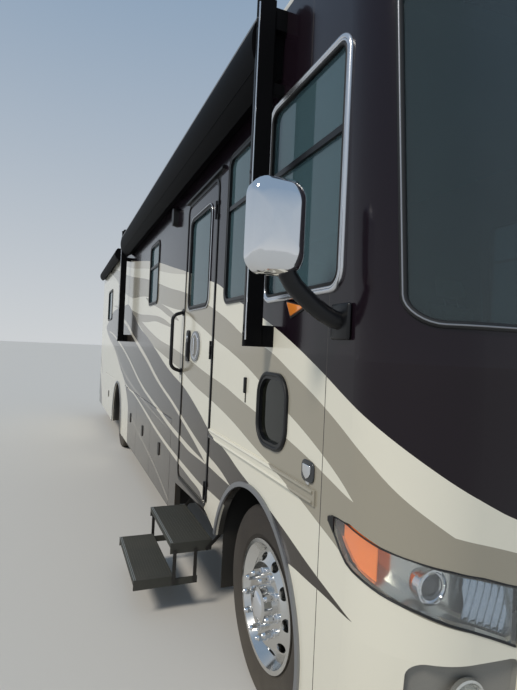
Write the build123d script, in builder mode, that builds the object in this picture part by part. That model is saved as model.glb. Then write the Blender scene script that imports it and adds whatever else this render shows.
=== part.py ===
# Class A motorhome on a front-engined ladder chassis, with twin rear wheels and a double entry step.
# X points forward, Y to the driver's side and Z up. The origin is on the ground, below the middle
# of the body's length, on the centre plane. All sizes are in millimetres.
import os
from math import cos, radians, sin, sqrt

from build123d import *

os.makedirs("parts", exist_ok=True)

# Body
body_length = 11100
body_width = 2560
skirt_z = 330
wall_top_z = 3330
roof_edge_z = 3400
roof_crown_z = 3480
roof_corner_radius = 70
wall = 45
cap_wall = 30
floor_top_z = 1165
floor_thickness = 55
panel_gap = 6
seat_gap = 0.3

# Running gear
front_overhang = 1150
wheelbase = 6147
axle_z = 470
tyre_radius = 470
tyre_width = 235
disc_radius = 298
front_track = 2216
rear_track = 2145
dual_spacing = 292
kingpin_spacing = 1860
rail_spacing = 870
rail_depth = 230
rail_flange = 75
rail_bottom_z = 700

# Named places that follow from them
half_width = body_width / 2
front_x = body_length / 2
rear_x = -body_length / 2
front_axle_x = front_x - front_overhang
rear_axle_x = front_axle_x - wheelbase
floor_bottom_z = floor_top_z - floor_thickness
rail_top_z = rail_bottom_z + rail_depth

# Each side's wall stands on its own plane, whose local X and Y are the coach's X and Z
side_plane = {"right": Plane.XZ.offset(half_width), "left": Plane.XZ.offset(-half_width)}
inward = {"right": -1, "left": 1}
side_sign = {"right": -1, "left": 1}


def finish(piece, name):
    piece.label = name
    export_step(piece, f"parts/{name}.step")


# Front cap: a bowed nose with round corners, raked back towards the roof
cap_bow = 80
cap_corner_radius = 300
cap_back_x = 4640
cap_setbacks = [  # z, setback from the foremost plane
    (skirt_z, 40),
    (800, 0),
    (1700, 0),
    (3000, 115),
    (roof_crown_z + 20, 260),
]
brow_radius = 420
brow_drop = 160
brow_roundness = 1.22


def coach_section(inset):
    """Cross-section of the body, across it and up, with a crowned roof and rounded roof edges."""
    half = half_width - inset
    with BuildSketch() as section:
        with BuildLine():
            Line((-half, 0), (half, 0))
            Line((half, 0), (half, roof_edge_z - inset))
            ThreePointArc((half, roof_edge_z - inset), (0, roof_crown_z - inset),
                          (-half, roof_edge_z - inset))
            Line((-half, roof_edge_z - inset), (-half, 0))
        make_face()
        fillet(section.vertices().group_by(Axis.Y)[-1], roof_corner_radius)
    return section.sketch_local


def nose_section(z, setback, inset):
    """Plan of the front cap at one height."""
    nose = front_x - setback - inset
    half = half_width - inset
    with BuildSketch(Plane.XY.offset(z)) as section:
        with BuildLine():
            Line((cap_back_x, half), (cap_back_x, -half))
            Line((cap_back_x, -half), (nose - cap_bow, -half))
            ThreePointArc((nose - cap_bow, -half), (nose, 0), (nose - cap_bow, half))
            Line((nose - cap_bow, half), (cap_back_x, half))
        make_face()
        fillet(section.vertices().group_by(Axis.X)[-1], cap_corner_radius - inset)
    return section.sketch


def cap_envelope(inset):
    """Solid inside the front cap's skin, drawn in by the inset."""
    top = roof_crown_z - inset
    brow_x = front_x - cap_setbacks[-1][1] - inset
    with BuildPart() as envelope:
        loft(sections=[nose_section(z, setback, inset) for z, setback in cap_setbacks], ruled=True)
        with BuildSketch(Plane.YZ):
            add(coach_section(inset))
        extrude(amount=body_length, mode=Mode.INTERSECT)
        with BuildSketch(Plane.XZ):
            with BuildLine():
                Polyline((brow_x - brow_radius, top + 1), (0, top + 1), (0, 0), (body_length, 0),
                         (body_length, top - brow_radius), (brow_x + brow_drop, top - brow_radius))
                RadiusArc((brow_x + brow_drop, top - brow_radius), (brow_x - brow_radius, top + 1),
                          -brow_radius * brow_roundness)
            make_face()
        extrude(amount=body_width, both=True, mode=Mode.INTERSECT)
    return envelope.part


# Openings in the side walls
window_corner = 60
porthole_corner = 100
frame_flange = 18
frame_lip = 14
frame_proud = 8
frame_depth = 28
glass_thickness = 6
glass_inset = 10
windows = [  # side, front and rear edges from the front axle, sill z, head z, bar z or None, corner
    ("right", 685, 0, 1970, 2880, 2550, window_corner),
    ("right", 290, -20, 1280, 1600, None, porthole_corner),
    ("right", -120, -640, 2000, 2870, 2560, window_corner),
    ("right", -2900, -3400, 2160, 2800, 2560, window_corner),
    ("right", -7670, -8400, 2160, 2730, None, window_corner),
    ("left", 685, 0, 1970, 2880, 2550, window_corner),
    ("left", -300, -1000, 2000, 2870, 2560, window_corner),
    ("left", -2300, -3800, 2000, 2730, 2500, window_corner),
    ("left", -7670, -8400, 2160, 2730, None, window_corner),
]
door_front = -875
door_width = 765
door_bottom_z = 690
door_top_z = 2810
door_corner = 55
door_window = (-1000, -1540, 2010, 2690)  # front, rear, sill, head
seam_lower = 618
seam_upper = 383
seam_step_z = 2800
rear_seam_x = -5300
front_arch_offset = -70
front_arch_radius = 560
rear_arch_radius = 600
arch_z = 450
arch_lip = 26
arch_lip_proud = 12
skirt_rise = [(-540, 0), (-540, 565), (-860, 655), (-1730, 600), (-1730, 0)]  # x from the front axle, z
split_z = 840

# Trim on the right wall
door_trim = (10, 30)  # inner and outer edge of the door frame, out from the opening
door_trim_proud = 6
drip_rail = (-750, -1690, 2852, 2878)  # front, rear, low z, high z
drip_rail_proud = 22
belt_rib = (580, -840, 1135, 1195)
belt_rib_proud = 8
porch_lamp = (-2100, 2850)  # x from the front axle, z of its middle
porch_lamp_size = (95, 170)
porch_lamp_proud = 45

# Bay doors, hung on a rolled top edge
bay_door_thickness = 30
bay_hinge_z = 1065
bay_hinge_y = half_width - bay_door_thickness / 2
bay_rod_radius = 5
rod_clearance = 0.08
bay_depth = 690
bay_floor = 15
bay_doors = [  # name, side, front x, rear x
    ("bay_door_right_1", "right", 2420, 1420),
    ("bay_door_right_2", "right", 1420, 420),
    ("bay_door_right_3", "right", 420, -580),
    ("bay_door_right_4", "right", -2500, -3900),
    ("bay_door_left_1", "left", 2420, 920),
    ("bay_door_left_2", "left", 920, -580),
    ("bay_door_left_3", "left", -2500, -3900),
]
bay_groups = [("right", 2420, -580), ("right", -2500, -3900), ("left", 2420, -580), ("left", -2500, -3900)]
bay_top_z = bay_hinge_z + bay_door_thickness / 2 + panel_gap


def rounded_box(front, rear, low, high, radius, grow=0.0):
    """Rounded rectangle on a side plane, its ends given from the front axle."""
    with BuildSketch() as box:
        with Locations(((front + rear) / 2 + front_axle_x, (low + high) / 2)):
            RectangleRounded(front - rear + 2 * grow, high - low + 2 * grow, radius + grow)
    return box.sketch_local


lower_seam_x = front_axle_x + seam_lower
upper_seam_x = front_axle_x + seam_upper

# Entry door hinges: a bored knuckle on the door, between two on the wall that carry the pin
door_hinge_out = 10
door_hinge_x = front_axle_x + door_front - panel_gap / 2
door_hinge_zs = (780, 1700, 2620)
hinge_radius = 7
hinge_pin_radius = 4
knuckle_half = 30
knuckle_end = 60
with BuildPart() as entry_hinge_fixed:
    for hinge_z in door_hinge_zs:
        for low_z in (hinge_z - knuckle_end, hinge_z + knuckle_half + 1):
            with BuildSketch(Plane.XY.offset(low_z)):
                with Locations((door_hinge_x, -half_width - door_hinge_out)):
                    Circle(hinge_radius)
                with Locations((door_hinge_x + 18, -half_width - 4)):
                    Rectangle(36, 10)
            extrude(amount=knuckle_end - knuckle_half - 1)
        with Locations((door_hinge_x, -half_width - door_hinge_out, hinge_z)):
            Cylinder(hinge_pin_radius, 2 * knuckle_end)

# The skirt rises over the entry step, and its edge slopes down to the front arch
with BuildSketch() as step_notch:
    with BuildLine():
        Polyline(*[(front_axle_x + x, z) for x, z in skirt_rise], close=True)
    make_face()

# Frame round the entry door, drip rail over it, rib along the belt line and porch lamp
with BuildPart() as right_trim:
    with BuildSketch(side_plane["right"]):
        door_opening = (door_front, door_front - door_width, door_bottom_z, door_top_z, door_corner)
        add(rounded_box(*door_opening, door_trim[1]))
        add(rounded_box(*door_opening, door_trim[0]), mode=Mode.SUBTRACT)
    extrude(amount=door_trim_proud)
    for (front, rear, low, high), proud in ((drip_rail, drip_rail_proud), (belt_rib, belt_rib_proud)):
        with BuildSketch(side_plane["right"]):
            with Locations(((front + rear) / 2 + front_axle_x, (low + high) / 2)):
                Rectangle(front - rear, high - low)
        extrude(amount=proud)
        if proud == drip_rail_proud:
            chamfer(right_trim.edges().filter_by(Axis.X).group_by(Axis.Y)[0].sort_by(Axis.Z)[-1], 10)
    with BuildSketch(side_plane["right"]):
        with Locations((front_axle_x + porch_lamp[0], porch_lamp[1])):
            RectangleRounded(*porch_lamp_size, porch_lamp_size[0] / 2 - 1)
    extrude(amount=porch_lamp_proud, taper=12)

arches = ((front_axle_x + front_arch_offset, front_arch_radius), (rear_axle_x, rear_arch_radius))

for side in ("right", "left"):
    with BuildPart() as side_wall:
        with BuildSketch(side_plane[side]):
            with BuildLine():
                Polyline((rear_seam_x, skirt_z), (lower_seam_x, skirt_z), (lower_seam_x, seam_step_z),
                         (upper_seam_x, seam_step_z), (upper_seam_x, wall_top_z),
                         (rear_seam_x, wall_top_z), (rear_seam_x, skirt_z))
            make_face()
            for window_side, front, rear, low, high, bar, corner in windows:
                if window_side == side:
                    add(rounded_box(front, rear, low, high, corner), mode=Mode.SUBTRACT)
            for wheel_x, radius in arches:
                with Locations((wheel_x, arch_z)):
                    Circle(radius, mode=Mode.SUBTRACT)
            for group_side, front, rear in bay_groups:
                if group_side == side:
                    with Locations(((front + rear) / 2, bay_top_z / 2)):
                        Rectangle(front - rear + 2 * panel_gap, bay_top_z, mode=Mode.SUBTRACT)
            if side == "right":
                door_middle = front_axle_x + door_front - door_width / 2
                with Locations((door_middle, (door_bottom_z + door_top_z) / 2)):
                    RectangleRounded(door_width, door_top_z - door_bottom_z, door_corner, mode=Mode.SUBTRACT)
                add(step_notch.sketch_local, mode=Mode.SUBTRACT)
        extrude(amount=inward[side] * wall)
        # lips round the wheel arches
        with BuildSketch(side_plane[side]):
            for wheel_x, radius in arches:
                with Locations((wheel_x, arch_z)):
                    Circle(radius + arch_lip)
            for wheel_x, radius in arches:
                with Locations((wheel_x, arch_z)):
                    Circle(radius, mode=Mode.SUBTRACT)
            with Locations((0, skirt_z)):
                Rectangle(body_length, rear_arch_radius, align=(Align.CENTER, Align.MAX), mode=Mode.SUBTRACT)
            if side == "right":
                add(step_notch.sketch_local, mode=Mode.SUBTRACT)
        extrude(amount=-inward[side] * arch_lip_proud)
        # hinge rods across the bay openings
        for group_side, front, rear in bay_groups:
            if group_side == side:
                with BuildSketch(Plane.YZ.offset(rear - panel_gap - 5)):
                    with Locations((side_sign[side] * bay_hinge_y, bay_hinge_z)):
                        Circle(bay_rod_radius)
                extrude(amount=front - rear + 2 * panel_gap + 10)
        if side == "right":
            add(entry_hinge_fixed.part)
            add(right_trim.part)
    finish(side_wall.part, f"side_wall_{side}")

# Roof
with BuildPart() as roof:
    with BuildSketch(Plane.YZ.offset(rear_seam_x)):
        add(coach_section(0))
        Rectangle(body_width + 2, wall_top_z, align=(Align.CENTER, Align.MIN), mode=Mode.SUBTRACT)
    extrude(amount=upper_seam_x - rear_seam_x)
finish(roof.part, "roof")

# Front cap shell, cut for the windscreen, the front side windows and the lamps
outer_cap = cap_envelope(0)
inner_cap = cap_envelope(cap_wall)
lamp_skin = 2
grille_front = 6
grille_back = 24
fog_recess = 10
wiper_clearance = 3
wiper_height = 12
lamp_layer = cap_envelope(lamp_skin)
fog_layer = cap_envelope(fog_recess)
glass_front_layer = cap_envelope(glass_thickness)
glass_back_layer = cap_envelope(2 * glass_thickness)
grille_front_layer = cap_envelope(grille_front)
grille_back_layer = cap_envelope(grille_back)
wiper_low_layer = cap_envelope(-wiper_clearance)
wiper_high_layer = cap_envelope(-wiper_height)
windscreen_half_width = 1218
windscreen_sill_z = 1825
windscreen_head_z = 2980
windscreen_corner = 90
windscreen_gasket = 26
hood_half_width = 560
hood_low_z = 850
hood_high_z = 1360
hood_corner = 60


def windscreen_tool(shrink):
    """Block along X with the windscreen's front-view outline."""
    with BuildPart() as tool:
        with BuildSketch(Plane.YZ.offset(front_axle_x + 500)):
            with Locations((0, (windscreen_sill_z + windscreen_head_z) / 2)):
                RectangleRounded(2 * (windscreen_half_width - shrink),
                                 windscreen_head_z - windscreen_sill_z - 2 * shrink, windscreen_corner)
        extrude(amount=1000)
    return tool.part


def hood_tool(shrink):
    """Block along X with the hood's front-view outline."""
    with BuildPart() as tool:
        with BuildSketch(Plane.YZ.offset(front_axle_x + 800)):
            with Locations((0, (hood_low_z + hood_high_z) / 2)):
                RectangleRounded(2 * (hood_half_width - shrink), hood_high_z - hood_low_z - 2 * shrink,
                                 hood_corner)
        extrude(amount=1000)
    return tool.part


# Headlamps: wrapped round the corners, so their outline is drawn on a plane at 45 degrees
lamp_outline = [(-405, 1140), (-330, 1152), (-215, 1120), (0, 1085), (190, 1022), (190, 830),
                (46, 905), (-90, 950), (-215, 975), (-335, 1010)]  # distance along the diagonal, z


def lamp_tool(side, shrink):
    """Block square to the diagonal plane with a headlamp's outline."""
    sign = side_sign[side]
    across = Vector(1, -sign, 0).normalized()
    outward = Vector(1, sign, 0).normalized()
    plane = Plane(origin=(front_axle_x, 0, 0), x_dir=across, z_dir=across.cross(Vector(0, 0, 1)))
    with BuildPart() as tool:
        with BuildSketch(plane):
            with BuildLine():
                Polyline(*lamp_outline, close=True)
            make_face()
            if shrink:
                offset(amount=-shrink)
        extrude(amount=2600, dir=outward)
    return tool.part


with BuildPart() as cap_skin:
    add(outer_cap)
    add(inner_cap, mode=Mode.SUBTRACT)
    with BuildSketch(Plane.XZ):
        with BuildLine():
            Polyline((lower_seam_x, 0), (lower_seam_x, seam_step_z), (upper_seam_x, seam_step_z),
                     (upper_seam_x, 4000), (6000, 4000), (6000, 0), close=True)
        make_face()
    extrude(amount=2000, both=True, mode=Mode.INTERSECT)

windscreen_opening = windscreen_tool(0)
hood_opening = hood_tool(0)
lamp_openings = [lamp_tool(side, 0) for side in ("right", "left")]
front_side_window = rounded_box(*windows[0][1:5], windows[0][6])

# Hood hinges: a bored knuckle on the cap, between two on the hood that carry the pin
hood_hinge_x = front_x + 5
hood_hinge_z = hood_high_z - 3
hood_hinge_ys = (-330, 330)


def hood_knuckle(y_low, y_high, leaf_sign):
    """Hinge knuckle along Y with a leaf that runs up or down into the skin."""
    with BuildPart() as knuckle:
        with BuildSketch(Plane.XZ.offset(-y_high)):
            with Locations((hood_hinge_x, hood_hinge_z)):
                Circle(hinge_radius)
            with Locations((hood_hinge_x - 8, hood_hinge_z + leaf_sign * 20)):
                Rectangle(16, 28)
        extrude(amount=y_high - y_low)
    return knuckle.part


def hood_hinge_cylinder(y, radius, length):
    """Cylinder on the hood's hinge axis."""
    with BuildPart() as cylinder:
        with Locations(Location((hood_hinge_x, y, hood_hinge_z), (90, 0, 0))):
            Cylinder(radius, length)
    return cylinder.part


with BuildPart() as front_cap:
    add(cap_skin.part)
    split(bisect_by=Plane.XY.offset(split_z), keep=Keep.TOP)
    add(windscreen_opening, mode=Mode.SUBTRACT)
    add(hood_opening, mode=Mode.SUBTRACT)
    add(lamp_openings, mode=Mode.SUBTRACT)
    for side in ("right", "left"):
        with BuildSketch(side_plane[side]):
            add(front_side_window)
        extrude(amount=inward[side] * 200, mode=Mode.SUBTRACT)
    for y in hood_hinge_ys:
        add(hood_knuckle(y - knuckle_half, y + knuckle_half, 1))
        add(hood_hinge_cylinder(y, hinge_pin_radius + rod_clearance, 2 * knuckle_end), mode=Mode.SUBTRACT)
finish(front_cap.part, "front_cap")


# Front bumper, with a grille opening and a fog lamp pocket at each corner
grille_half_width = 700
grille_low_z = 470
grille_high_z = 720
grille_slats = 5
grille_slat_height = 22
fog_inner_y = 820
fog_outer_y = 1190
fog_low_z = 560
fog_high_z = 800


def front_block(y_low, y_high, z_low, z_high, corner):
    """Block along X with a rounded front-view outline."""
    with BuildPart() as tool:
        with BuildSketch(Plane.YZ.offset(front_axle_x + 500)):
            with Locations(((y_low + y_high) / 2, (z_low + z_high) / 2)):
                RectangleRounded(y_high - y_low, z_high - z_low, corner)
        extrude(amount=1000)
    return tool.part


with BuildPart() as front_bumper:
    add(cap_skin.part)
    split(bisect_by=Plane.XY.offset(split_z), keep=Keep.BOTTOM)
    add(front_block(-grille_half_width, grille_half_width, grille_low_z, grille_high_z, 12),
        mode=Mode.SUBTRACT)
    add(lamp_openings, mode=Mode.SUBTRACT)
    for sign in (-1, 1):
        low, high = sorted((sign * fog_inner_y, sign * fog_outer_y))
        add(front_block(low, high, fog_low_z, fog_high_z, 50), mode=Mode.SUBTRACT)
    for side in ("right", "left"):
        with BuildSketch(side_plane[side]):
            with Locations((front_axle_x + front_arch_offset, arch_z)):
                Circle(front_arch_radius)
        extrude(amount=inward[side] * 200, mode=Mode.SUBTRACT)
finish(front_bumper.part, "front_bumper")

with BuildPart() as grille:
    add(grille_front_layer)
    add(grille_back_layer, mode=Mode.SUBTRACT)
    grille_pitch = (grille_high_z - grille_low_z) / grille_slats
    with BuildSketch(Plane.YZ.offset(front_axle_x + 500)):
        for index in range(grille_slats):
            with Locations((0, grille_low_z + (index + 0.5) * grille_pitch)):
                Rectangle(2 * grille_half_width - 2 * seat_gap, grille_slat_height)
        for y in (-520, 0, 520):
            with Locations((y, (grille_low_z + grille_high_z) / 2)):
                Rectangle(24, grille_high_z - grille_low_z - 2 * seat_gap)
    extrude(amount=1000, mode=Mode.INTERSECT)
finish(grille.part, "grille")

with BuildPart() as front_hood:
    add(outer_cap)
    add(inner_cap, mode=Mode.SUBTRACT)
    add(hood_tool(panel_gap), mode=Mode.INTERSECT)
    for y in hood_hinge_ys:
        add(hood_knuckle(y - knuckle_end, y - knuckle_half - 1, -1))
        add(hood_knuckle(y + knuckle_half + 1, y + knuckle_end, -1))
        add(hood_hinge_cylinder(y, hinge_pin_radius, 2 * knuckle_end))
finish(front_hood.part, "front_hood")

with BuildPart() as headlamps:
    for side in ("right", "left"):
        with BuildPart(mode=Mode.PRIVATE) as lamp:
            add(lamp_layer)
            add(inner_cap, mode=Mode.SUBTRACT)
            add(lamp_tool(side, seat_gap), mode=Mode.INTERSECT)
        add(lamp.part)
    for sign in (-1, 1):
        low, high = sorted((sign * (fog_inner_y + seat_gap), sign * (fog_outer_y - seat_gap)))
        with BuildPart(mode=Mode.PRIVATE) as fog:
            add(fog_layer)
            add(inner_cap, mode=Mode.SUBTRACT)
            add(front_block(low, high, fog_low_z + seat_gap, fog_high_z - seat_gap, 50),
                mode=Mode.INTERSECT)
        add(fog.part)
finish(headlamps.part, "headlamps")

with BuildPart() as windshield:
    add(glass_front_layer)
    add(glass_back_layer, mode=Mode.SUBTRACT)
    add(windscreen_tool(seat_gap), mode=Mode.INTERSECT)
finish(windshield.part, "windshield")

# Wipers lie on the windscreen, 3 mm off the skin, each on a pivot boss below it
wipers_table = [(-520, -20), (520, 1040)]  # pivot y, blade's outer y
with BuildPart() as wipers:
    for pivot_y, blade_y in wipers_table:
        with BuildPart(mode=Mode.PRIVATE) as wiper:
            add(wiper_high_layer)
            add(wiper_low_layer, mode=Mode.SUBTRACT)
            with BuildSketch(Plane.YZ.offset(front_axle_x + 600)):
                with BuildLine():
                    Polyline((pivot_y - 14, 1770), (pivot_y + 14, 1770), ((pivot_y + blade_y) / 2 + 8, 1905),
                             ((pivot_y + blade_y) / 2 - 8, 1915), close=True)
                make_face()
                with Locations(((pivot_y + blade_y) / 2, 1912)):
                    Rectangle(abs(blade_y - pivot_y) + 160, 16)
            extrude(amount=1000, mode=Mode.INTERSECT)
        with BuildPart(mode=Mode.PRIVATE) as boss:
            add(wiper_high_layer)
            add(outer_cap, mode=Mode.SUBTRACT)
            with BuildSketch(Plane.YZ.offset(front_axle_x + 600)):
                with Locations((pivot_y, 1765)):
                    Circle(24)
            extrude(amount=1000, mode=Mode.INTERSECT)
        add(wiper.part)
        add(boss.part)
finish(wipers.part, "wipers")

# Rear cap: a shallow bowed shell with lamp openings
rear_bow = 25
rear_corner_radius = 140
rear_bottom_z = 500
tail_lamp_y = 1080
tail_lamp_width = 110
tail_lamp_corner = 30
tail_lamp_low_z = 880
tail_lamp_high_z = 1260


def rear_envelope(inset):
    """Solid inside the rear cap's skin, drawn in by the inset."""
    tail = rear_x + inset
    half = half_width - inset
    with BuildPart() as envelope:
        with BuildSketch(Plane.XY.offset(rear_bottom_z)):
            with BuildLine():
                Line((rear_seam_x, -half), (rear_seam_x, half))
                Line((rear_seam_x, half), (tail + rear_bow, half))
                ThreePointArc((tail + rear_bow, half), (tail, 0), (tail + rear_bow, -half))
                Line((tail + rear_bow, -half), (rear_seam_x, -half))
            rear_face = make_face()
            fillet(rear_face.vertices().group_by(Axis.X)[0], rear_corner_radius - inset)
        extrude(amount=roof_crown_z)
        with BuildSketch(Plane.YZ.offset(rear_x - 1)):
            with BuildLine():
                ThreePointArc((half, roof_edge_z - inset), (0, roof_crown_z - inset),
                              (-half, roof_edge_z - inset))
                Polyline((-half, roof_edge_z - inset), (-half, 0), (half, 0), (half, roof_edge_z - inset))
            make_face()
        extrude(amount=rear_seam_x - rear_x + 2, mode=Mode.INTERSECT)
        top = envelope.faces().sort_by(Axis.Z)[-1]
        edges = [edge for edge in top.edges() if edge.center().X < rear_seam_x - 1]
        fillet(edges, roof_corner_radius - inset)
    return envelope.part


def tail_lamp_block(sign, shrink):
    """Block along X with a tail lamp's outline."""
    with BuildPart() as tool:
        with BuildSketch(Plane.YZ.offset(rear_x - 50)):
            with Locations((sign * tail_lamp_y, (tail_lamp_low_z + tail_lamp_high_z) / 2)):
                RectangleRounded(tail_lamp_width - 2 * shrink,
                                 tail_lamp_high_z - tail_lamp_low_z - 2 * shrink, tail_lamp_corner)
        extrude(amount=200)
    return tool.part


rear_outer = rear_envelope(0)
rear_inner = rear_envelope(cap_wall)
with BuildPart() as rear_cap:
    add(rear_outer)
    add(rear_inner, mode=Mode.SUBTRACT)
    for sign in (-1, 1):
        add(tail_lamp_block(sign, 0), mode=Mode.SUBTRACT)
finish(rear_cap.part, "rear_cap")

with BuildPart() as tail_lamps:
    add(rear_envelope(lamp_skin))
    add(rear_inner, mode=Mode.SUBTRACT)
    with BuildPart(mode=Mode.PRIVATE) as lamp_blocks:
        for sign in (-1, 1):
            add(tail_lamp_block(sign, seat_gap))
    add(lamp_blocks.part, mode=Mode.INTERSECT)
finish(tail_lamps.part, "tail_lamps")

# Window frames: a flange on the skin, a neck in the opening and a bar between the panes
with BuildPart() as window_frames:
    for side, front, rear, low, high, bar, corner in windows:
        inner = -frame_lip
        with BuildSketch(side_plane[side]):
            add(rounded_box(front, rear, low, high, corner, frame_flange))
            add(rounded_box(front, rear, low, high, corner, inner), mode=Mode.SUBTRACT)
        extrude(amount=-inward[side] * frame_proud)
        with BuildSketch(side_plane[side]):
            add(rounded_box(front, rear, low, high, corner, -seat_gap))
            add(rounded_box(front, rear, low, high, corner, inner), mode=Mode.SUBTRACT)
        extrude(amount=inward[side] * frame_depth)
        if bar:
            with BuildSketch(side_plane[side].offset(-inward[side] * frame_proud / 2)):
                with Locations(((front + rear) / 2 + front_axle_x, bar)):
                    Rectangle(front - rear - 2 * frame_lip + 2, 26)
            extrude(amount=inward[side] * (glass_inset + frame_proud / 2))
finish(window_frames.part, "window_frames")

with BuildPart() as side_glass:
    for side, front, rear, low, high, bar, corner in windows:
        with BuildSketch(side_plane[side].offset(inward[side] * glass_inset)):
            add(rounded_box(front, rear, low, high, corner, -frame_lip - seat_gap))
        extrude(amount=inward[side] * glass_thickness)
finish(side_glass.part, "side_glass")

# Entry door, hinged at its front edge on a pin just outside the skin
door_rear = door_front - door_width
latch_z = 1720
latch_bezel = (250, 220)
with BuildPart() as entry_door:
    with BuildSketch(side_plane["right"]):
        add(rounded_box(door_front, door_rear, door_bottom_z, door_top_z, door_corner, -panel_gap))
        add(rounded_box(*door_window, window_corner), mode=Mode.SUBTRACT)
    extrude(amount=inward["right"] * wall)
    # window surround
    with BuildSketch(side_plane["right"]):
        add(rounded_box(*door_window, window_corner, frame_flange))
        add(rounded_box(*door_window, window_corner, -frame_lip), mode=Mode.SUBTRACT)
    extrude(amount=-inward["right"] * frame_proud)
    # latch paddle and the bezel of the inner latch
    with BuildSketch(side_plane["right"]):
        with Locations((front_axle_x + door_rear + 150, latch_z)):
            RectangleRounded(100, 240, 30)
    extrude(amount=-inward["right"] * 12)
    with BuildSketch(side_plane["right"]):
        with Locations((front_axle_x + door_rear + 355, latch_z)):
            RectangleRounded(*latch_bezel, latch_bezel[1] / 2 - 1)
            RectangleRounded(latch_bezel[0] - 40, latch_bezel[1] - 40, latch_bezel[1] / 2 - 21,
                             mode=Mode.SUBTRACT)
    extrude(amount=-inward["right"] * 10)
    # hinge knuckles along the front edge
    for hinge_z in door_hinge_zs:
        with BuildSketch(Plane.XY.offset(hinge_z - knuckle_half)):
            with Locations((door_hinge_x - 16, -half_width - 4)):
                Rectangle(32, 8)
            with Locations((door_hinge_x, -half_width - door_hinge_out)):
                Circle(hinge_radius)
                Circle(hinge_pin_radius + rod_clearance, mode=Mode.SUBTRACT)
        extrude(amount=2 * knuckle_half)
finish(entry_door.part, "entry_door")

with BuildPart() as entry_door_glass:
    with BuildSketch(side_plane["right"].offset(inward["right"] * glass_inset)):
        add(rounded_box(*door_window, window_corner, -seat_gap))
    extrude(amount=inward["right"] * glass_thickness)
finish(entry_door_glass.part, "entry_door_glass")

# Bay doors: a panel below a half-round edge that turns in place as the door lifts
bay_latch_z = 720
for name, side, front, rear in bay_doors:
    sign = side_sign[side]
    middle_y = sign * bay_hinge_y
    length = front - rear - panel_gap
    with BuildPart() as bay_door:
        with BuildSketch(Plane.YZ.offset(rear + panel_gap / 2)):
            with Locations((middle_y, bay_hinge_z)):
                Circle(bay_door_thickness / 2)
            with Locations((middle_y, (bay_hinge_z + skirt_z) / 2)):
                Rectangle(bay_door_thickness, bay_hinge_z - skirt_z)
            with Locations((middle_y, bay_hinge_z)):
                Circle(bay_rod_radius + rod_clearance, mode=Mode.SUBTRACT)
        extrude(amount=length)
        with BuildSketch(side_plane[side]):
            with Locations(((front + rear) / 2, bay_latch_z)):
                RectangleRounded(70, 120, 20)
        extrude(amount=-inward[side] * 8)
    finish(bay_door.part, name)

# Floor, with the step well cut out inside the entry door
well_depth = 600
well_wall = 12
well_front_x = front_axle_x + door_front
well_rear_x = front_axle_x + door_rear
floor_front_x = front_axle_x + 750
floor_tail = 190
with BuildPart() as floor:
    with BuildSketch(Plane.XY.offset(floor_bottom_z)):
        with Locations(((rear_seam_x + floor_front_x) / 2, 0)):
            Rectangle(floor_front_x - rear_seam_x, body_width - 2 * wall)
        with Locations((rear_seam_x, 0)):
            Rectangle(2 * floor_tail, 2 * half_width - 320)
        with Locations(((well_front_x + well_rear_x) / 2, -half_width + wall + well_depth / 2)):
            Rectangle(well_front_x - well_rear_x, well_depth, mode=Mode.SUBTRACT)
    extrude(amount=floor_thickness)
finish(floor.part, "floor")

# Basement: luggage bays behind the doors, and the step well
bay_inner_y = half_width - wall - bay_depth
bay_low_z = skirt_z + 10
room_low_z = bay_low_z + bay_floor
room_high_z = floor_bottom_z + 20
well_bottom_z = 574
well_step_z = 860
with BuildPart() as basement:
    for side, front, rear in bay_groups:
        sign = side_sign[side]
        low_y, high_y = sorted((sign * bay_inner_y, sign * (half_width - wall)))
        with Locations(((front + rear) / 2, (low_y + high_y) / 2, (bay_low_z + floor_bottom_z) / 2)):
            Box(front - rear + 2 * panel_gap, bay_depth, floor_bottom_z - bay_low_z)
        for name, door_side, door_front_x, door_rear_x in bay_doors:
            if door_side == side and door_rear_x >= rear and door_front_x <= front:
                room_y = sign * (bay_inner_y + well_wall + bay_depth / 2)
                with Locations(((door_front_x + door_rear_x) / 2, room_y, (room_low_z + room_high_z) / 2)):
                    Box(door_front_x - door_rear_x - well_wall, bay_depth, room_high_z - room_low_z,
                        mode=Mode.SUBTRACT)
    well_x = (well_front_x + well_rear_x) / 2
    well_y = -half_width + wall + well_depth / 2
    with Locations((well_x, well_y, (well_bottom_z + floor_bottom_z) / 2)):
        Box(well_front_x - well_rear_x + 2 * well_wall, well_depth, floor_bottom_z - well_bottom_z)
    with Locations((well_x, well_y - well_wall, (well_bottom_z + well_wall + floor_bottom_z + 10) / 2)):
        Box(well_front_x - well_rear_x, well_depth, floor_bottom_z + 10 - well_bottom_z - well_wall,
            mode=Mode.SUBTRACT)
    with Locations((well_x, well_y + well_depth / 2 - 150, (well_bottom_z + well_step_z) / 2)):
        Box(well_front_x - well_rear_x, 300, well_step_z - well_bottom_z)
finish(basement.part, "basement")

# Chassis: boxed rails, closed at both ends, with crossmembers and outriggers up to the floor
rail_rear_x = -5360
rail_front_x = 5300
rail_corner = 12
rail_outer_y = rail_spacing / 2
rail_y = rail_outer_y - rail_flange / 2
crossmember_length = 80
crossmember_z = (800, 910)
crossmembers = (5200, 3150, 2150, 1150, 150, -850, -2450, -3200, -3950, -4650, -5250)
outrigger = 60
with BuildPart() as chassis_frame:
    with BuildSketch(Plane.YZ.offset(rail_rear_x)):
        with Locations((-rail_y, rail_bottom_z + rail_depth / 2), (rail_y, rail_bottom_z + rail_depth / 2)):
            RectangleRounded(rail_flange, rail_depth, rail_corner)
    extrude(amount=rail_front_x - rail_rear_x)
finish(chassis_frame.part, "chassis_frame")

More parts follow.
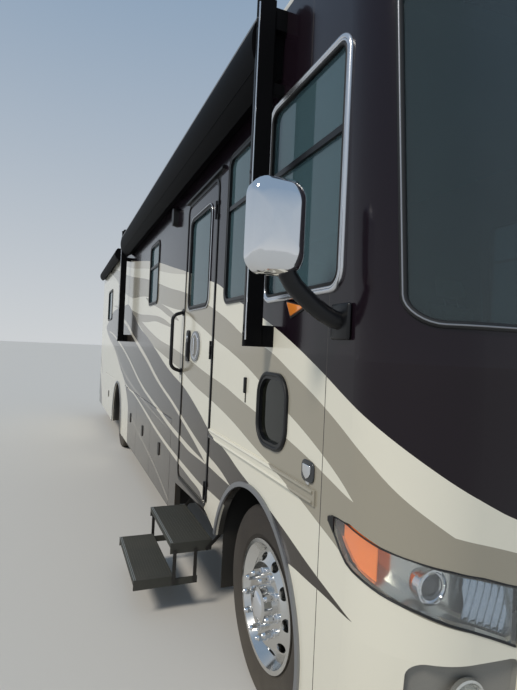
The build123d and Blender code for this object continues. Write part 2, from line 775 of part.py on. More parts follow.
with BuildPart() as chassis_crossmembers:
    for x in crossmembers:
        with Locations((x, 0, sum(crossmember_z) / 2)):
            Box(crossmember_length, rail_spacing - 2 * rail_flange, crossmember_z[1] - crossmember_z[0])
    for x in crossmembers[:-1]:
        with Locations((x, -rail_y, (rail_top_z + floor_bottom_z) / 2),
                       (x, rail_y, (rail_top_z + floor_bottom_z) / 2)):
            Box(outrigger, outrigger, floor_bottom_z - rail_top_z)
finish(chassis_crossmembers.part, "chassis_crossmembers")

# Hitch: a square receiver with its cross-pin bore, held by a cross tube on two hangers below the rails
receiver_outer = 64
receiver_inner = 51
receiver_z = 425
receiver_rear_x = -5590
receiver_depth = 250
hitch_tube = 60
hitch_pin_radius = 8.15
hitch_pin_x = receiver_rear_x + 65
hanger = (100, 12)  # length, thickness
hitch_tube_x = receiver_rear_x + receiver_depth + hitch_tube / 2
receiver_middle_z = receiver_z + receiver_outer / 2
with BuildPart() as hitch_receiver:
    with BuildSketch(Plane.YZ.offset(receiver_rear_x)):
        with Locations((0, receiver_middle_z)):
            Rectangle(receiver_outer, receiver_outer)
            Rectangle(receiver_inner, receiver_inner, mode=Mode.SUBTRACT)
    extrude(amount=receiver_depth - seat_gap)
    with Locations(Location((hitch_pin_x, 0, receiver_middle_z), (90, 0, 0))):
        Cylinder(hitch_pin_radius, 2 * receiver_outer, mode=Mode.SUBTRACT)
    with Locations((hitch_tube_x, 0, receiver_middle_z)):
        Box(hitch_tube, 2 * rail_outer_y - 2 * hanger[1], receiver_outer)
    for sign in (-1, 1):
        hanger_y = sign * (rail_outer_y - hanger[1] / 2)
        with Locations((hitch_tube_x, hanger_y, (receiver_z + rail_bottom_z) / 2)):
            Box(hanger[0], hanger[1], rail_bottom_z - receiver_z)
finish(hitch_receiver.part, "hitch_receiver")

# Engine and gearbox, as one plain block on its mounts
with BuildPart() as engine:
    with Locations((4480, 0, 790)):
        Box(820, 600, 540)
    with Locations((3700, 0, 640)):
        Box(740, 320, 240)
    with Locations((4400, 0, 830)):
        Box(90, rail_spacing - 2 * rail_flange, 60)
finish(engine.part, "engine")

# Axles with their leaf springs
spring_width = 76
spring_thickness = 40
spring_y = 398
beam_half = kingpin_spacing / 2
beam_low_z = 370
beam_top_z = 470
kingpin_radius = 20
kingpin_gap = 0.08
boss_radius = 44
boss_height = 100


def spring_leaves(axle_x, seat_z, half_length):
    """Two leaf springs, bowed up to the rails, with their hangers."""
    end_z = rail_bottom_z - 45
    for sign in (-1, 1):
        with BuildSketch(Plane.XZ.offset(-sign * spring_y - spring_width / 2)) as leaf:
            with BuildLine():
                ThreePointArc((axle_x - half_length, end_z), (axle_x, seat_z), (axle_x + half_length, end_z))
                Line((axle_x + half_length, end_z), (axle_x + half_length, end_z + spring_thickness))
                ThreePointArc((axle_x + half_length, end_z + spring_thickness),
                              (axle_x, seat_z + spring_thickness),
                              (axle_x - half_length, end_z + spring_thickness))
                Line((axle_x - half_length, end_z + spring_thickness), (axle_x - half_length, end_z))
            make_face()
        yield leaf.sketch


with BuildPart() as front_axle:
    for leaf in spring_leaves(front_axle_x, beam_top_z - 8, 700):
        extrude(leaf, amount=spring_width)
    for sign in (-1, 1):
        for end in (-1, 1):
            with Locations((front_axle_x + end * 680, sign * spring_y, rail_bottom_z - 25)):
                Box(50, spring_width, 50)
        with Locations((front_axle_x, sign * beam_half, axle_z)):
            Cylinder(boss_radius, boss_height)
    with BuildSketch(Plane.YZ.offset(front_axle_x - 45)):
        with BuildLine():
            Polyline((-beam_half, axle_z - 40), (-beam_half + 200, axle_z - 40),
                     (-560, beam_low_z), (560, beam_low_z),
                     (beam_half - 200, axle_z - 40), (beam_half, axle_z - 40), (beam_half, axle_z + 40),
                     (beam_half - 170, axle_z + 40), (530, beam_top_z), (-530, beam_top_z),
                     (-beam_half + 170, axle_z + 40), (-beam_half, axle_z + 40), close=True)
        make_face()
    extrude(amount=90)
    for sign in (-1, 1):
        with Locations((front_axle_x, sign * beam_half, axle_z)):
            Cylinder(kingpin_radius + kingpin_gap, 3 * boss_height, mode=Mode.SUBTRACT)
finish(front_axle.part, "front_axle")

axle_tube_radius = 72
spindle_radius = 50
front_spindle_radius = 35
rear_tube_half = 600
with BuildPart() as rear_axle:
    for leaf in spring_leaves(rear_axle_x, axle_z + axle_tube_radius - 10, 760):
        extrude(leaf, amount=spring_width)
    for sign in (-1, 1):
        for end in (-1, 1):
            with Locations((rear_axle_x + end * 740, sign * spring_y, rail_bottom_z - 25)):
                Box(50, spring_width, 50)
    with Locations(Location((rear_axle_x, 0, axle_z), (90, 0, 0))):
        Cylinder(axle_tube_radius, 2 * rear_tube_half)
        Cylinder(spindle_radius, 2 * 900)
    with Locations((rear_axle_x, 0, axle_z)):
        Sphere(195)
    with Locations(Location((rear_axle_x + 190, 0, axle_z), (0, 90, 0))):
        Cylinder(70, 220)
    shaft_start = Vector(rear_axle_x + 260, 0, axle_z)
    shaft_end = Vector(3327, 0, 640)
    shaft_path = shaft_end - shaft_start
    with BuildSketch(Plane(origin=shaft_start, z_dir=shaft_path)):
        Circle(45)
    extrude(amount=shaft_path.length)
finish(rear_axle.part, "rear_axle")

# Fuel tank behind the rear axle, on straps from the crossmembers
with BuildPart() as fuel_tank:
    with Locations((-3100, 0, 560)):
        Box(1200, 640, 260)
        fillet(fuel_tank.edges().filter_by(Axis.Y), 50)
    for x in (-2700, -3500):
        with Locations((x, 0, 560)):
            Box(50, 650, 270)
    for y in (-295, 295):
        with Locations((-3200, y, 745)):
            Box(50, 30, 110)
finish(fuel_tank.part, "fuel_tank")

# Exhaust: straight pipes slip-jointed to a muffler and a turned-down tail, on hangers
exhaust_y = -220
exhaust_z = 742
pipe_radius = 33
muffler_radius = 105
muffler_z = 680
exhaust_joints = (4060, 2050, 1250, -4900)  # manifold, muffler front, muffler rear, tail
tail_x = -5180
tail_low_z = 420
with BuildPart() as exhaust:
    for front, rear, radius, z in ((exhaust_joints[0], exhaust_joints[1], pipe_radius, exhaust_z),
                                   (exhaust_joints[1], exhaust_joints[2], muffler_radius, muffler_z),
                                   (exhaust_joints[2], exhaust_joints[3], pipe_radius, exhaust_z)):
        with Locations(Location(((front + rear) / 2, exhaust_y, z), (0, 90, 0))):
            Cylinder(radius, front - rear - 2 * seat_gap)
    tail_start = exhaust_joints[3] - seat_gap
    with BuildLine() as tail_path:
        FilletPolyline((tail_start, exhaust_y, exhaust_z), (tail_x, exhaust_y, exhaust_z),
                       (tail_x, exhaust_y, tail_low_z), radius=110)
    with BuildSketch(Plane(origin=(tail_start, exhaust_y, exhaust_z), z_dir=(-1, 0, 0))):
        Circle(pipe_radius)
    sweep(path=tail_path.line)
    for x in (2150, 150, -3950):
        with Locations((x, exhaust_y, exhaust_z + pipe_radius + 7)):
            Box(20, 30, 36)
finish(exhaust.part, "exhaust")

# Steered knuckles: a yoke on the kingpin, a spindle for the hub and a steering arm
yoke_ear = 26
front_tyre_y = front_track / 2
hub_bore_end = 20
yoke_reach = 66
spindle_length = front_tyre_y + hub_bore_end - 3 - kingpin_spacing / 2 - yoke_reach
bearing_gap = 0.08
knuckle_gap = 1
for side in ("right", "left"):
    sign = side_sign[side]
    pin_y = sign * beam_half
    with BuildPart() as knuckle:
        with Locations((front_axle_x, pin_y, axle_z)):
            Cylinder(kingpin_radius, boss_height + 2 * yoke_ear)
        for end in (-1, 1):
            ear_z = axle_z + end * (boss_height / 2 + knuckle_gap + yoke_ear / 2)
            with Locations((front_axle_x, pin_y, ear_z)):
                Cylinder(boss_radius, yoke_ear)
                with Locations((0, sign * 40, 0)):
                    Box(80, 80, yoke_ear)
        with Locations((front_axle_x, pin_y + sign * yoke_reach, axle_z)):
            Box(110, 32, boss_height + 2 * yoke_ear + 2 * knuckle_gap)
        spindle_y = pin_y + sign * (yoke_reach + spindle_length / 2)
        with Locations(Location((front_axle_x, spindle_y, axle_z), (90, 0, 0))):
            Cylinder(front_spindle_radius, spindle_length)
        with Locations((front_axle_x - 110, pin_y + sign * 30, axle_z - boss_height / 2 - 14)):
            Box(220, 40, 24)
    finish(knuckle.part, f"knuckle_{side}")


# Tyres are flat-faced rings with many sides, 1 mm off round at most
tyre_sides = 48
tyre_bead = disc_radius - 6
tyre_bulge = tyre_bead + 0.52 * (tyre_radius - tyre_bead)
tyre_half = tyre_width / 2
tyre_bands = [  # across from the middle, radius
    (tyre_half - 22, tyre_bead / cos(radians(180 / tyre_sides))),
    (tyre_half - 22, tyre_bead + 8),
    (tyre_half, tyre_bulge),
    (tyre_half - 9, tyre_radius - 24),
    (tyre_half - 28, tyre_radius),
]


def tyre_ring(x, y):
    """Tyre round the axle line through x, with its middle at y, its bands closed through the bore."""
    stations = [(-across, radius) for across, radius in tyre_bands] + tyre_bands[::-1]
    turns = [radians(360 * count / tyre_sides) for count in range(tyre_sides)]
    rings = []
    for across, radius in stations:
        ring = [Vector(x + radius * cos(turn), y + across, axle_z + radius * sin(turn)) for turn in turns]
        rings.append(ring)
    faces = []
    for ring, following in zip(rings, rings[1:] + rings[:1]):
        for corner in range(tyre_sides):
            corners = (ring[corner - 1], ring[corner], following[corner], following[corner - 1])
            faces.append(Face(Wire.make_polygon(corners)))
    return Solid(Shell(faces))


def rim_profile(flange):
    """Section of a rim: across it from its middle, and out from its axis."""
    half = tyre_width / 2 - 15
    seat = disc_radius - 6 - seat_gap
    well = seat - 34
    with BuildSketch() as profile:
        with BuildLine():
            Polyline((-half - 8, flange), (-half, flange), (-half, seat), (-half + 22, seat),
                     (-half + 45, well), (half - 45, well), (half - 22, seat), (half, seat),
                     (half, flange), (half + 8, flange), (half + 8, seat - 9), (half - 40, well - 9),
                     (-half + 40, well - 9), (-half - 8, seat - 9), close=True)
        make_face()
    return profile.sketch_local


wheel_flange = disc_radius + 4
lug_circle_radius = 143
lug_radius = 17
lug_count = 10
hand_hole_count = 10
hub_radius = 88
wheel_rim_profile = rim_profile(wheel_flange)
rim_well = disc_radius - 6 - seat_gap - 34


def axle_plane(x, y):
    """Plane whose local X runs outward along the axle to the left, and local Y up from it."""
    return Plane(origin=(x, y, axle_z), x_dir=(0, 1, 0), z_dir=(1, 0, 0))


def wheel_face(x, y, sign):
    """Plane across an axle, facing out to one side."""
    return Plane(origin=(x, y, axle_z), x_dir=(1, 0, 0), z_dir=(0, sign, 0))


for side in ("right", "left"):
    sign = side_sign[side]
    y = sign * front_tyre_y
    wheel_axis = Axis((front_axle_x, y, axle_z), (0, 1, 0))
    finish(tyre_ring(front_axle_x, y), f"front_tyre_{side}")

    with BuildPart() as front_disc:
        with BuildSketch(axle_plane(front_axle_x, y)):
            add(wheel_rim_profile)
            with BuildLine():
                Polyline((sign * 20, rim_well - 4), (sign * 60, rim_well - 4), (sign * 104, 190),
                         (sign * 104, hub_radius), (sign * 140, 80), (sign * 152, 50), (sign * 152, 0),
                         (sign * hub_bore_end, 0), (sign * hub_bore_end, front_spindle_radius + bearing_gap),
                         (-sign * 60, front_spindle_radius + bearing_gap),
                         (-sign * 60, 80), (sign * 60, 80), (sign * 88, 120), (sign * 88, 182),
                         (sign * 44, rim_well - 20), (sign * 20, rim_well - 20), close=True)
            make_face()
        revolve(axis=wheel_axis)
        with BuildSketch(wheel_face(front_axle_x, 0, sign)):
            with PolarLocations(213, hand_hole_count):
                Ellipse(20, 30)
        extrude(amount=1400, mode=Mode.SUBTRACT)
        with BuildSketch(wheel_face(front_axle_x, y + sign * 100, sign)):
            with PolarLocations(lug_circle_radius, lug_count):
                RegularPolygon(lug_radius, 6)
        extrude(amount=50)
    finish(front_disc.part, f"front_disc_{side}")

    outer_y = sign * rear_track / 2
    inner_y = outer_y - sign * dual_spacing
    rear_axis = Axis((rear_axle_x, 0, axle_z), (0, 1, 0))
    with BuildPart() as rear_tyres:
        for tyre_y in (outer_y, inner_y):
            add(tyre_ring(rear_axle_x, tyre_y))
    finish(rear_tyres.part, f"rear_tyres_{side}")

    mount_y = (outer_y + inner_y) / 2
    with BuildPart() as rear_discs:
        for rim_y in (outer_y, inner_y):
            with BuildSketch(axle_plane(rear_axle_x, rim_y)):
                add(wheel_rim_profile)
            revolve(axis=rear_axis)
        with BuildSketch(axle_plane(rear_axle_x, mount_y)):
            for flip in (-1, 1):
                with BuildLine():
                    Polyline((0, 100), (flip * 14, 100), (flip * 14, 190), (flip * 60, rim_well - 20),
                             (flip * 90, rim_well - 20), (flip * 90, rim_well - 4),
                             (flip * 50, rim_well - 4), (0, 200), close=True)
                make_face()
            with BuildLine():
                Polyline((-sign * 90, spindle_radius + bearing_gap), (-sign * 90, 104), (sign * 20, 104),
                         (sign * 20, 90), (sign * 150, 84), (sign * 165, 60), (sign * 165, 0),
                         (sign * 140, 0),
                         (sign * 140, spindle_radius + bearing_gap), close=True)
            make_face()
        revolve(axis=rear_axis)
        with BuildSketch(wheel_face(rear_axle_x, mount_y, sign)):
            with PolarLocations(213, hand_hole_count):
                Ellipse(20, 26)
        extrude(amount=200, both=True, mode=Mode.SUBTRACT)
        with BuildSketch(wheel_face(rear_axle_x, mount_y + sign * 10, sign)):
            with PolarLocations(lug_circle_radius, lug_count):
                RegularPolygon(lug_radius, 6)
        extrude(amount=50)
    finish(rear_discs.part, f"rear_discs_{side}")

# Dashboard with the steering column
driver_y = 620
steering_x = 4600
steering_z = 1800
steering_tilt = 40
steering_radius = 215
steering_shaft_radius = 12
column_dir = Vector(cos(radians(steering_tilt)), 0, -sin(radians(steering_tilt)))
column_plane = Plane(origin=(steering_x, driver_y, steering_z), z_dir=column_dir)
dash_layer = cap_envelope(cap_wall + 3)
with BuildPart() as dashboard:
    with BuildSketch(Plane.XZ):
        with BuildLine():
            Polyline((4760, 1600), (4850, 1690), (5100, 1750), (5600, 1790), (5600, 1700),
                     (5140, floor_top_z), (5060, floor_top_z), (4900, 1450), (4780, 1520), close=True)
        make_face()
    extrude(amount=half_width, both=True)
    add(dash_layer, mode=Mode.INTERSECT)
    with Locations((5200, 0, 1300)):
        Box(1200, body_width - 2 * wall - 2 * seat_gap, 1600, mode=Mode.INTERSECT)
    with BuildSketch(column_plane.offset(30)):
        Circle(28)
    extrude(amount=430)
    with BuildSketch(column_plane):
        Circle(steering_shaft_radius + rod_clearance)
    extrude(amount=80, mode=Mode.SUBTRACT)
finish(dashboard.part, "dashboard")

with BuildPart() as steering_wheel:
    with BuildSketch(Plane(origin=column_plane.origin, x_dir=column_dir, z_dir=column_plane.y_dir)):
        with Locations((0, steering_radius)):
            Circle(15)
    revolve(axis=Axis(column_plane.origin, column_plane.z_dir))
    with BuildSketch(column_plane):
        Circle(70)
        with PolarLocations(steering_radius / 2, 4, start_angle=45):
            Rectangle(steering_radius, 30)
        Circle(steering_radius - 4, mode=Mode.INTERSECT)
    extrude(amount=12, both=True)
    with BuildSketch(column_plane):
        Circle(34)
    extrude(amount=28)
    with BuildSketch(column_plane):
        Circle(steering_shaft_radius)
    extrude(amount=78)
finish(steering_wheel.part, "steering_wheel")

# Driver's and passenger's chairs on pedestals
seat_x = 3950
seat_back_angle = 12
with BuildPart() as front_seats:
    for y in (-driver_y, driver_y):
        with Locations((seat_x, y, floor_top_z + 120)):
            Cylinder(150, 240)
        with Locations((seat_x + 30, y, floor_top_z + 320)):
            Box(560, 540, 160)
        with BuildSketch(Plane.XZ.offset(-y - 260)):
            with BuildLine():
                Polyline((seat_x - 120, floor_top_z + 260), (seat_x - 240, floor_top_z + 300),
                         (seat_x - 420, floor_top_z + 1050), (seat_x - 380, floor_top_z + 1190),
                         (seat_x - 300, floor_top_z + 1190), (seat_x - 260, floor_top_z + 1050), close=True)
            make_face()
        extrude(amount=520)
        for end in (-1, 1):
            with Locations((seat_x - 20, y + end * 295, floor_top_z + 520)):
                Box(420, 60, 70)
            with Locations((seat_x - 200, y + end * 272, floor_top_z + 480)):
                Box(60, 40, 120)
finish(front_seats.part, "front_seats")

# Roof air conditioners and vents, seated on the crown
roof_conditioners = (1900, -3200)
roof_vents = ((3300, 0), (300, 300), (-1600, -350))
with BuildPart() as roof_units:
    for x in roof_conditioners:
        with BuildSketch(Plane.XY.offset(roof_edge_z)):
            with Locations((x, 0)):
                RectangleRounded(1060, 720, 120)
        extrude(amount=roof_crown_z + 300 - roof_edge_z, taper=5)
    for x, y in roof_vents:
        with BuildSketch(Plane.XY.offset(roof_edge_z)):
            with Locations((x, y)):
                RectangleRounded(400, 400, 40)
        extrude(amount=roof_crown_z + 70 - roof_edge_z)
    with BuildSketch(Plane.YZ.offset(rear_x)):
        add(coach_section(0))
    extrude(amount=body_length, mode=Mode.SUBTRACT)
finish(roof_units.part, "roof_units")

# Ladder on the rear cap
ladder_y = (-950, -590)
ladder_tube = 14
ladder_stand = 62
ladder_x = rear_x - ladder_stand
ladder_low_z = 1150
ladder_rung_pitch = 310
with BuildPart() as ladder:
    for y in ladder_y:
        with BuildLine() as rail_line:
            FilletPolyline((ladder_x, y, ladder_low_z), (ladder_x, y, roof_crown_z + 90),
                           (rear_x + 300, y, roof_crown_z + 90), (rear_x + 300, y, roof_edge_z), radius=80)
        with BuildSketch(Plane(origin=(ladder_x, y, ladder_low_z), z_dir=(0, 0, 1))):
            Circle(ladder_tube)
        sweep(path=rail_line.line)
        for z in (ladder_low_z + 60, 2300, 3200):
            with Locations(Location((rear_x - ladder_stand / 2 + 20, y, z), (0, 90, 0))):
                Cylinder(11, ladder_stand + 40)
    for rung in range(7):
        rung_z = ladder_low_z + 120 + rung * ladder_rung_pitch
        with Locations(Location((ladder_x, sum(ladder_y) / 2, rung_z), (90, 0, 0))):
            Cylinder(12, ladder_y[1] - ladder_y[0])
    add(rear_outer, mode=Mode.SUBTRACT)
    with BuildSketch(Plane.YZ.offset(rear_seam_x)):
        add(coach_section(0))
    extrude(amount=400, mode=Mode.SUBTRACT)
finish(ladder.part, "ladder")

# Awning: a wrapped roller in a long case between two box arms, and a shorter one over the rear window
awning_low_z = 2970
awning_high_z = 3325
awning_reach = 160
arm_width = 44
arm_low_z = 1734
arm_top_z = 3345
arm_out = (58, 144)
arm_xs = (front_axle_x + 100, front_axle_x - 5200)
awning_front_x = arm_xs[0] - arm_width / 2 - seat_gap
awning_rear_x = arm_xs[1] + arm_width / 2 + seat_gap
rear_awning = (-2050, -5280, 3120, 3320, 110)  # front x, rear x, low z, high z, reach
with BuildPart() as awning_roller:
    for front, rear, low, high, reach in ((awning_front_x, awning_rear_x, awning_low_z, awning_high_z,
                                           awning_reach), rear_awning):
        with BuildSketch(Plane.YZ.offset(rear)):
            with BuildLine():
                Polyline((-half_width - 0.45 * reach, low), (-half_width, low + 0.3 * reach),
                         (-half_width, high), (-half_width - 0.6 * reach, high))
                ThreePointArc((-half_width - 0.6 * reach, high),
                              (-half_width - reach, (low + high) / 2 + 0.2 * reach),
                              (-half_width - 0.45 * reach, low))
            make_face()
        extrude(amount=front - rear)
finish(awning_roller.part, "awning_roller")

with BuildPart() as awning_arms:
    for x in arm_xs:
        with BuildSketch(Plane.XY.offset(arm_low_z)):
            with Locations((x, -half_width - sum(arm_out) / 2)):
                RectangleRounded(arm_width, arm_out[1] - arm_out[0], 8)
        extrude(amount=arm_top_z - arm_low_z)
        for z, height in ((arm_low_z + 50, 100), (awning_low_z - 30, 50), (awning_high_z - 60, 100)):
            with Locations((x, -half_width - arm_out[0] / 2, z)):
                Box(arm_width - 10, arm_out[0], height)
        with Locations(Location((x, -half_width - sum(arm_out) / 2, arm_top_z), (0, 90, 0))):
            Cylinder(arm_width * 0.6, arm_width)
finish(awning_arms.part, "awning_arms")

# Grab handle behind the entry door
handle_x = door_rear + front_axle_x - 66
handle_z = (1510, 1990)
handle_stand = 88
handle_y = half_width + handle_stand
with BuildPart() as grab_handle:
    with BuildLine() as handle_line:
        FilletPolyline((handle_x, -half_width, handle_z[0]), (handle_x, -handle_y, handle_z[0] + 30),
                       (handle_x, -handle_y, handle_z[1] - 30), (handle_x, -half_width, handle_z[1]),
                       radius=60)
    with BuildSketch(Plane(origin=(handle_x, -half_width, handle_z[0]),
                           z_dir=Vector(0, -handle_stand, 30))):
        Circle(14)
    sweep(path=handle_line.line)
    for z in handle_z:
        with BuildSketch(side_plane["right"]):
            with Locations((handle_x, z)):
                Circle(28)
        extrude(amount=8)
    with Locations((handle_x, 0, 1750)):
        Box(200, 2 * half_width, 1000, mode=Mode.SUBTRACT)
finish(grab_handle.part, "grab_handle")

# Mirrors: a bulbous head on an arm from the cap's corner
mirror_x = front_axle_x + 700
mirror_head = (200, 330)  # width, height
mirror_depth = 95
mirror_out = 270
mirror_z = 2140
with BuildPart() as mirrors:
    for side in ("right", "left"):
        sign = side_sign[side]
        head_y = sign * (half_width + mirror_out)
        with BuildSketch(Plane.YZ.offset(mirror_x - 30)):
            with Locations((head_y, mirror_z)):
                RectangleRounded(*mirror_head, 50)
        extrude(amount=mirror_depth, taper=12)
        base_x = mirror_x + 60
        with BuildSketch(side_plane[side]):
            with Locations((base_x, 1870)):
                RectangleRounded(90, 130, 40)
        extrude(amount=-inward[side] * 18)
        arm_points = [(base_x, sign * (half_width + 10), 1870),
                      (base_x - 20, sign * (half_width + 130), 1895),
                      (mirror_x + 10, sign * (half_width + mirror_out - 20), 1960),
                      (mirror_x + 10, sign * (half_width + mirror_out - 20), 2080)]
        with BuildLine() as arm_line:
            FilletPolyline(*arm_points, radius=45)
        with BuildSketch(Plane(origin=arm_points[0], z_dir=Vector(*arm_points[1]) - Vector(*arm_points[0]))):
            Circle(30)
        sweep(path=arm_line.line)
finish(mirrors.part, "mirrors")

# Entry steps: the upper tread swings on two arms, the lower tread on four links below it
step_x = front_axle_x + door_front - door_width / 2
tread_width = 740
upper_tread_y = (1215, 1490)
upper_tread_z = 450
lower_tread_y = (1462, 1715)
lower_tread_z = 240
tread_thickness = 30
plate_thickness = 8
pin_radius = 7
pin_clearance = 0.08
bar_half = 11
arm_length = 200
arm_swing = 90
link_length = 200
link_swing = 60
arm_end_y = 1250
arm_end_z = 396
arm_offset = arm_length * sin(radians(45))
frame_pivot_y = arm_end_y - arm_offset
frame_pivot_z = arm_end_z + arm_offset
link_ys = (1325, 1462)
link_top_z = 396
link_low_z = link_top_z - link_length
plate_x = tread_width / 2 - plate_thickness
bar_x = tread_width / 2 + 5


def side_bar(start, end, x_inner):
    """Flat bar between two pivots, each a (y, z) point, with a pin at each end."""
    length = sqrt((end[0] - start[0]) ** 2 + (end[1] - start[1]) ** 2)
    run = Vector(0, end[0] - start[0], end[1] - start[1]).normalized()
    parts = []
    for end_sign in (-1, 1):
        x = step_x + end_sign * x_inner
        with BuildPart() as bar:
            middle = ((start[0] + end[0]) / 2, (start[1] + end[1]) / 2)
            with BuildSketch(Plane(origin=(x, -middle[0], middle[1]), x_dir=(0, -run.Y, run.Z),
                                   z_dir=(end_sign, 0, 0))):
                SlotCenterToCenter(length, 2 * bar_half)
            extrude(amount=plate_thickness)
            for y, z in (start, end):
                with BuildSketch(Plane.YZ.offset(x + end_sign * plate_thickness)):
                    with Locations((-y, z)):
                        Circle(pin_radius)
                extrude(amount=-end_sign * (x_inner + plate_thickness - plate_x + 2))
        parts.append(bar.part)
    return parts


with BuildPart() as step_arms:
    add(side_bar((frame_pivot_y, frame_pivot_z), (arm_end_y, arm_end_z), bar_x))
    with Locations(Location((step_x, -frame_pivot_y, frame_pivot_z), (0, 90, 0))):
        Cylinder(pin_radius, 2 * bar_x)
finish(step_arms.part, "step_arms")

with BuildPart() as step_links_inner:
    add(side_bar((link_ys[0], link_top_z), (link_ys[0], link_low_z), bar_x))
finish(step_links_inner.part, "step_links_inner")

with BuildPart() as step_links_outer:
    add(side_bar((link_ys[1], link_top_z), (link_ys[1], link_low_z), bar_x))
finish(step_links_outer.part, "step_links_outer")


def pivot_holes(points):
    """Bores for pins through the side plates."""
    with BuildPart() as holes:
        for y, z in points:
            with Locations(Location((step_x, -y, z), (0, 90, 0))):
                Cylinder(pin_radius + pin_clearance, tread_width + 100)
    return holes.part


upper_pivots = pivot_holes([(arm_end_y, arm_end_z), (link_ys[0], link_top_z), (link_ys[1], link_top_z)])
lower_pivots = pivot_holes([(link_ys[0], link_low_z), (link_ys[1], link_low_z)])
frame_pivots = pivot_holes([(frame_pivot_y, frame_pivot_z)])
with BuildPart() as step_upper:
    with Locations((step_x, -sum(upper_tread_y) / 2, upper_tread_z - tread_thickness / 2)):
        Box(tread_width, upper_tread_y[1] - upper_tread_y[0], tread_thickness)
    for end in (-1, 1):
        with Locations((step_x + end * (plate_x + plate_thickness / 2), -sum(upper_tread_y) / 2,
                        (upper_tread_z - 10 + link_top_z - 14) / 2)):
            Box(plate_thickness, upper_tread_y[1] - upper_tread_y[0], upper_tread_z - 10 - link_top_z + 14)
    add(upper_pivots, mode=Mode.SUBTRACT)
finish(step_upper.part, "step_upper")

with BuildPart() as step_lower:
    with Locations((step_x, -sum(lower_tread_y) / 2, lower_tread_z - tread_thickness / 2)):
        Box(tread_width, lower_tread_y[1] - lower_tread_y[0], tread_thickness)
    for end in (-1, 1):
        with Locations((step_x + end * (plate_x + plate_thickness / 2),
                        -(link_ys[0] - 20 + lower_tread_y[1]) / 2, link_low_z + 4)):
            Box(plate_thickness, lower_tread_y[1] - link_ys[0] + 20, 44)
    add(lower_pivots, mode=Mode.SUBTRACT)
finish(step_lower.part, "step_lower")

with BuildPart() as step_frame:
    for end in (-1, 1):
        with Locations((step_x + end * (plate_x + plate_thickness / 2), -frame_pivot_y + 20,
                        (frame_pivot_z - 20 + well_bottom_z) / 2)):
            Box(plate_thickness, 120, well_bottom_z - frame_pivot_z + 20)
    add(frame_pivots, mode=Mode.SUBTRACT)
finish(step_frame.part, "step_frame")
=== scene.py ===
from math import cos, pi, radians, sin, sqrt

import bpy
from mathutils import Matrix, Vector


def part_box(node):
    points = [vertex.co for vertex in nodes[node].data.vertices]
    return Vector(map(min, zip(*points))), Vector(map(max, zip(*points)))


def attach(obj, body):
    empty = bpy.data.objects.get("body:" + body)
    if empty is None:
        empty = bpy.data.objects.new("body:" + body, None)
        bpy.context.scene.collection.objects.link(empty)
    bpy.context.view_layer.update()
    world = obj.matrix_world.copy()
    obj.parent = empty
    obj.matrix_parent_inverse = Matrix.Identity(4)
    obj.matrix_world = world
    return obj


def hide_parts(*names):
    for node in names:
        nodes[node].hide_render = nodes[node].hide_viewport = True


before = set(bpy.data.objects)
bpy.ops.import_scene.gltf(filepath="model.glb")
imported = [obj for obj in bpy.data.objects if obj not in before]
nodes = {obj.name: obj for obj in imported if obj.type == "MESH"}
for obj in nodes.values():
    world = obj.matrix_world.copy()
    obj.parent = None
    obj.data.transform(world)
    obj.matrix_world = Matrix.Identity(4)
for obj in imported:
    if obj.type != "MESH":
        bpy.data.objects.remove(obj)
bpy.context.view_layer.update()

scene = bpy.context.scene
print("frame loaded")

coach = {
    "halfWidth": 1.28,
    "frontAxle": 4.4,
    "rearAxle": -1.747,
    "axleZ": 0.47,
    "nose": 5.55,
    "noseBow": 0.08,
    "cornerRadius": 0.30,
    "setbacks": [(0.33, 0.04), (0.8, 0.0), (1.7, 0.0), (3.0, 0.115), (3.5, 0.26)],  # height, how far back
    "rear": -5.55,
    "rearBow": 0.025,
}
sides = ((-1, "Right"), (1, "Left"))


# node helpers
def addNode(tree, kind, **values):
    node = tree.nodes.new(kind)
    for key, value in values.items():
        setattr(node, key, value)
    return node


def feed(tree, socket, value):
    if hasattr(value, "is_output"):
        tree.links.new(value, socket)
    else:
        socket.default_value = value


def sums(tree, operation, *values):
    node = addNode(tree, "ShaderNodeMath", operation=operation)
    for socket, value in zip(node.inputs, values):
        feed(tree, socket, value)
    return node.outputs[0]


def blendColour(tree, factor, under, over):
    node = addNode(tree, "ShaderNodeMix", data_type="RGBA")
    feed(tree, node.inputs[0], factor)
    feed(tree, node.inputs[6], under)
    feed(tree, node.inputs[7], over)
    return node.outputs[2]


def objectSpot(tree):
    # the point on the piece, and its three parts
    spot = addNode(tree, "ShaderNodeTexCoord").outputs["Object"]
    parts = addNode(tree, "ShaderNodeSeparateXYZ")
    feed(tree, parts.inputs[0], spot)
    return spot, parts.outputs


def inBox(tree, spot, low, high):
    # 1 inside a box, 0 outside
    middle = [(a + b) / 2 for a, b in zip(low, high)]
    half = [(b - a) / 2 for a, b in zip(low, high)]
    value = spot
    for operation, other in (("SUBTRACT", middle), ("ABSOLUTE", None), ("SUBTRACT", half)):
        node = addNode(tree, "ShaderNodeVectorMath", operation=operation)
        feed(tree, node.inputs[0], value)
        if other:
            node.inputs[1].default_value = other
        value = node.outputs[0]
    parts = addNode(tree, "ShaderNodeSeparateXYZ")
    feed(tree, parts.inputs[0], value)
    most = sums(tree, "MAXIMUM", parts.outputs[0], parts.outputs[1])
    most = sums(tree, "MAXIMUM", most, parts.outputs[2])
    return sums(tree, "LESS_THAN", most, 0.0)


def newGroup(name, inputs, outputs):
    group = bpy.data.node_groups.new(name, "ShaderNodeTree")
    for label, kind, value in inputs:
        socket = group.interface.new_socket(label, in_out="INPUT", socket_type=kind)
        socket.default_value = value
    for label, kind in outputs:
        group.interface.new_socket(label, in_out="OUTPUT", socket_type=kind)
    return group, addNode(group, "NodeGroupInput"), addNode(group, "NodeGroupOutput")


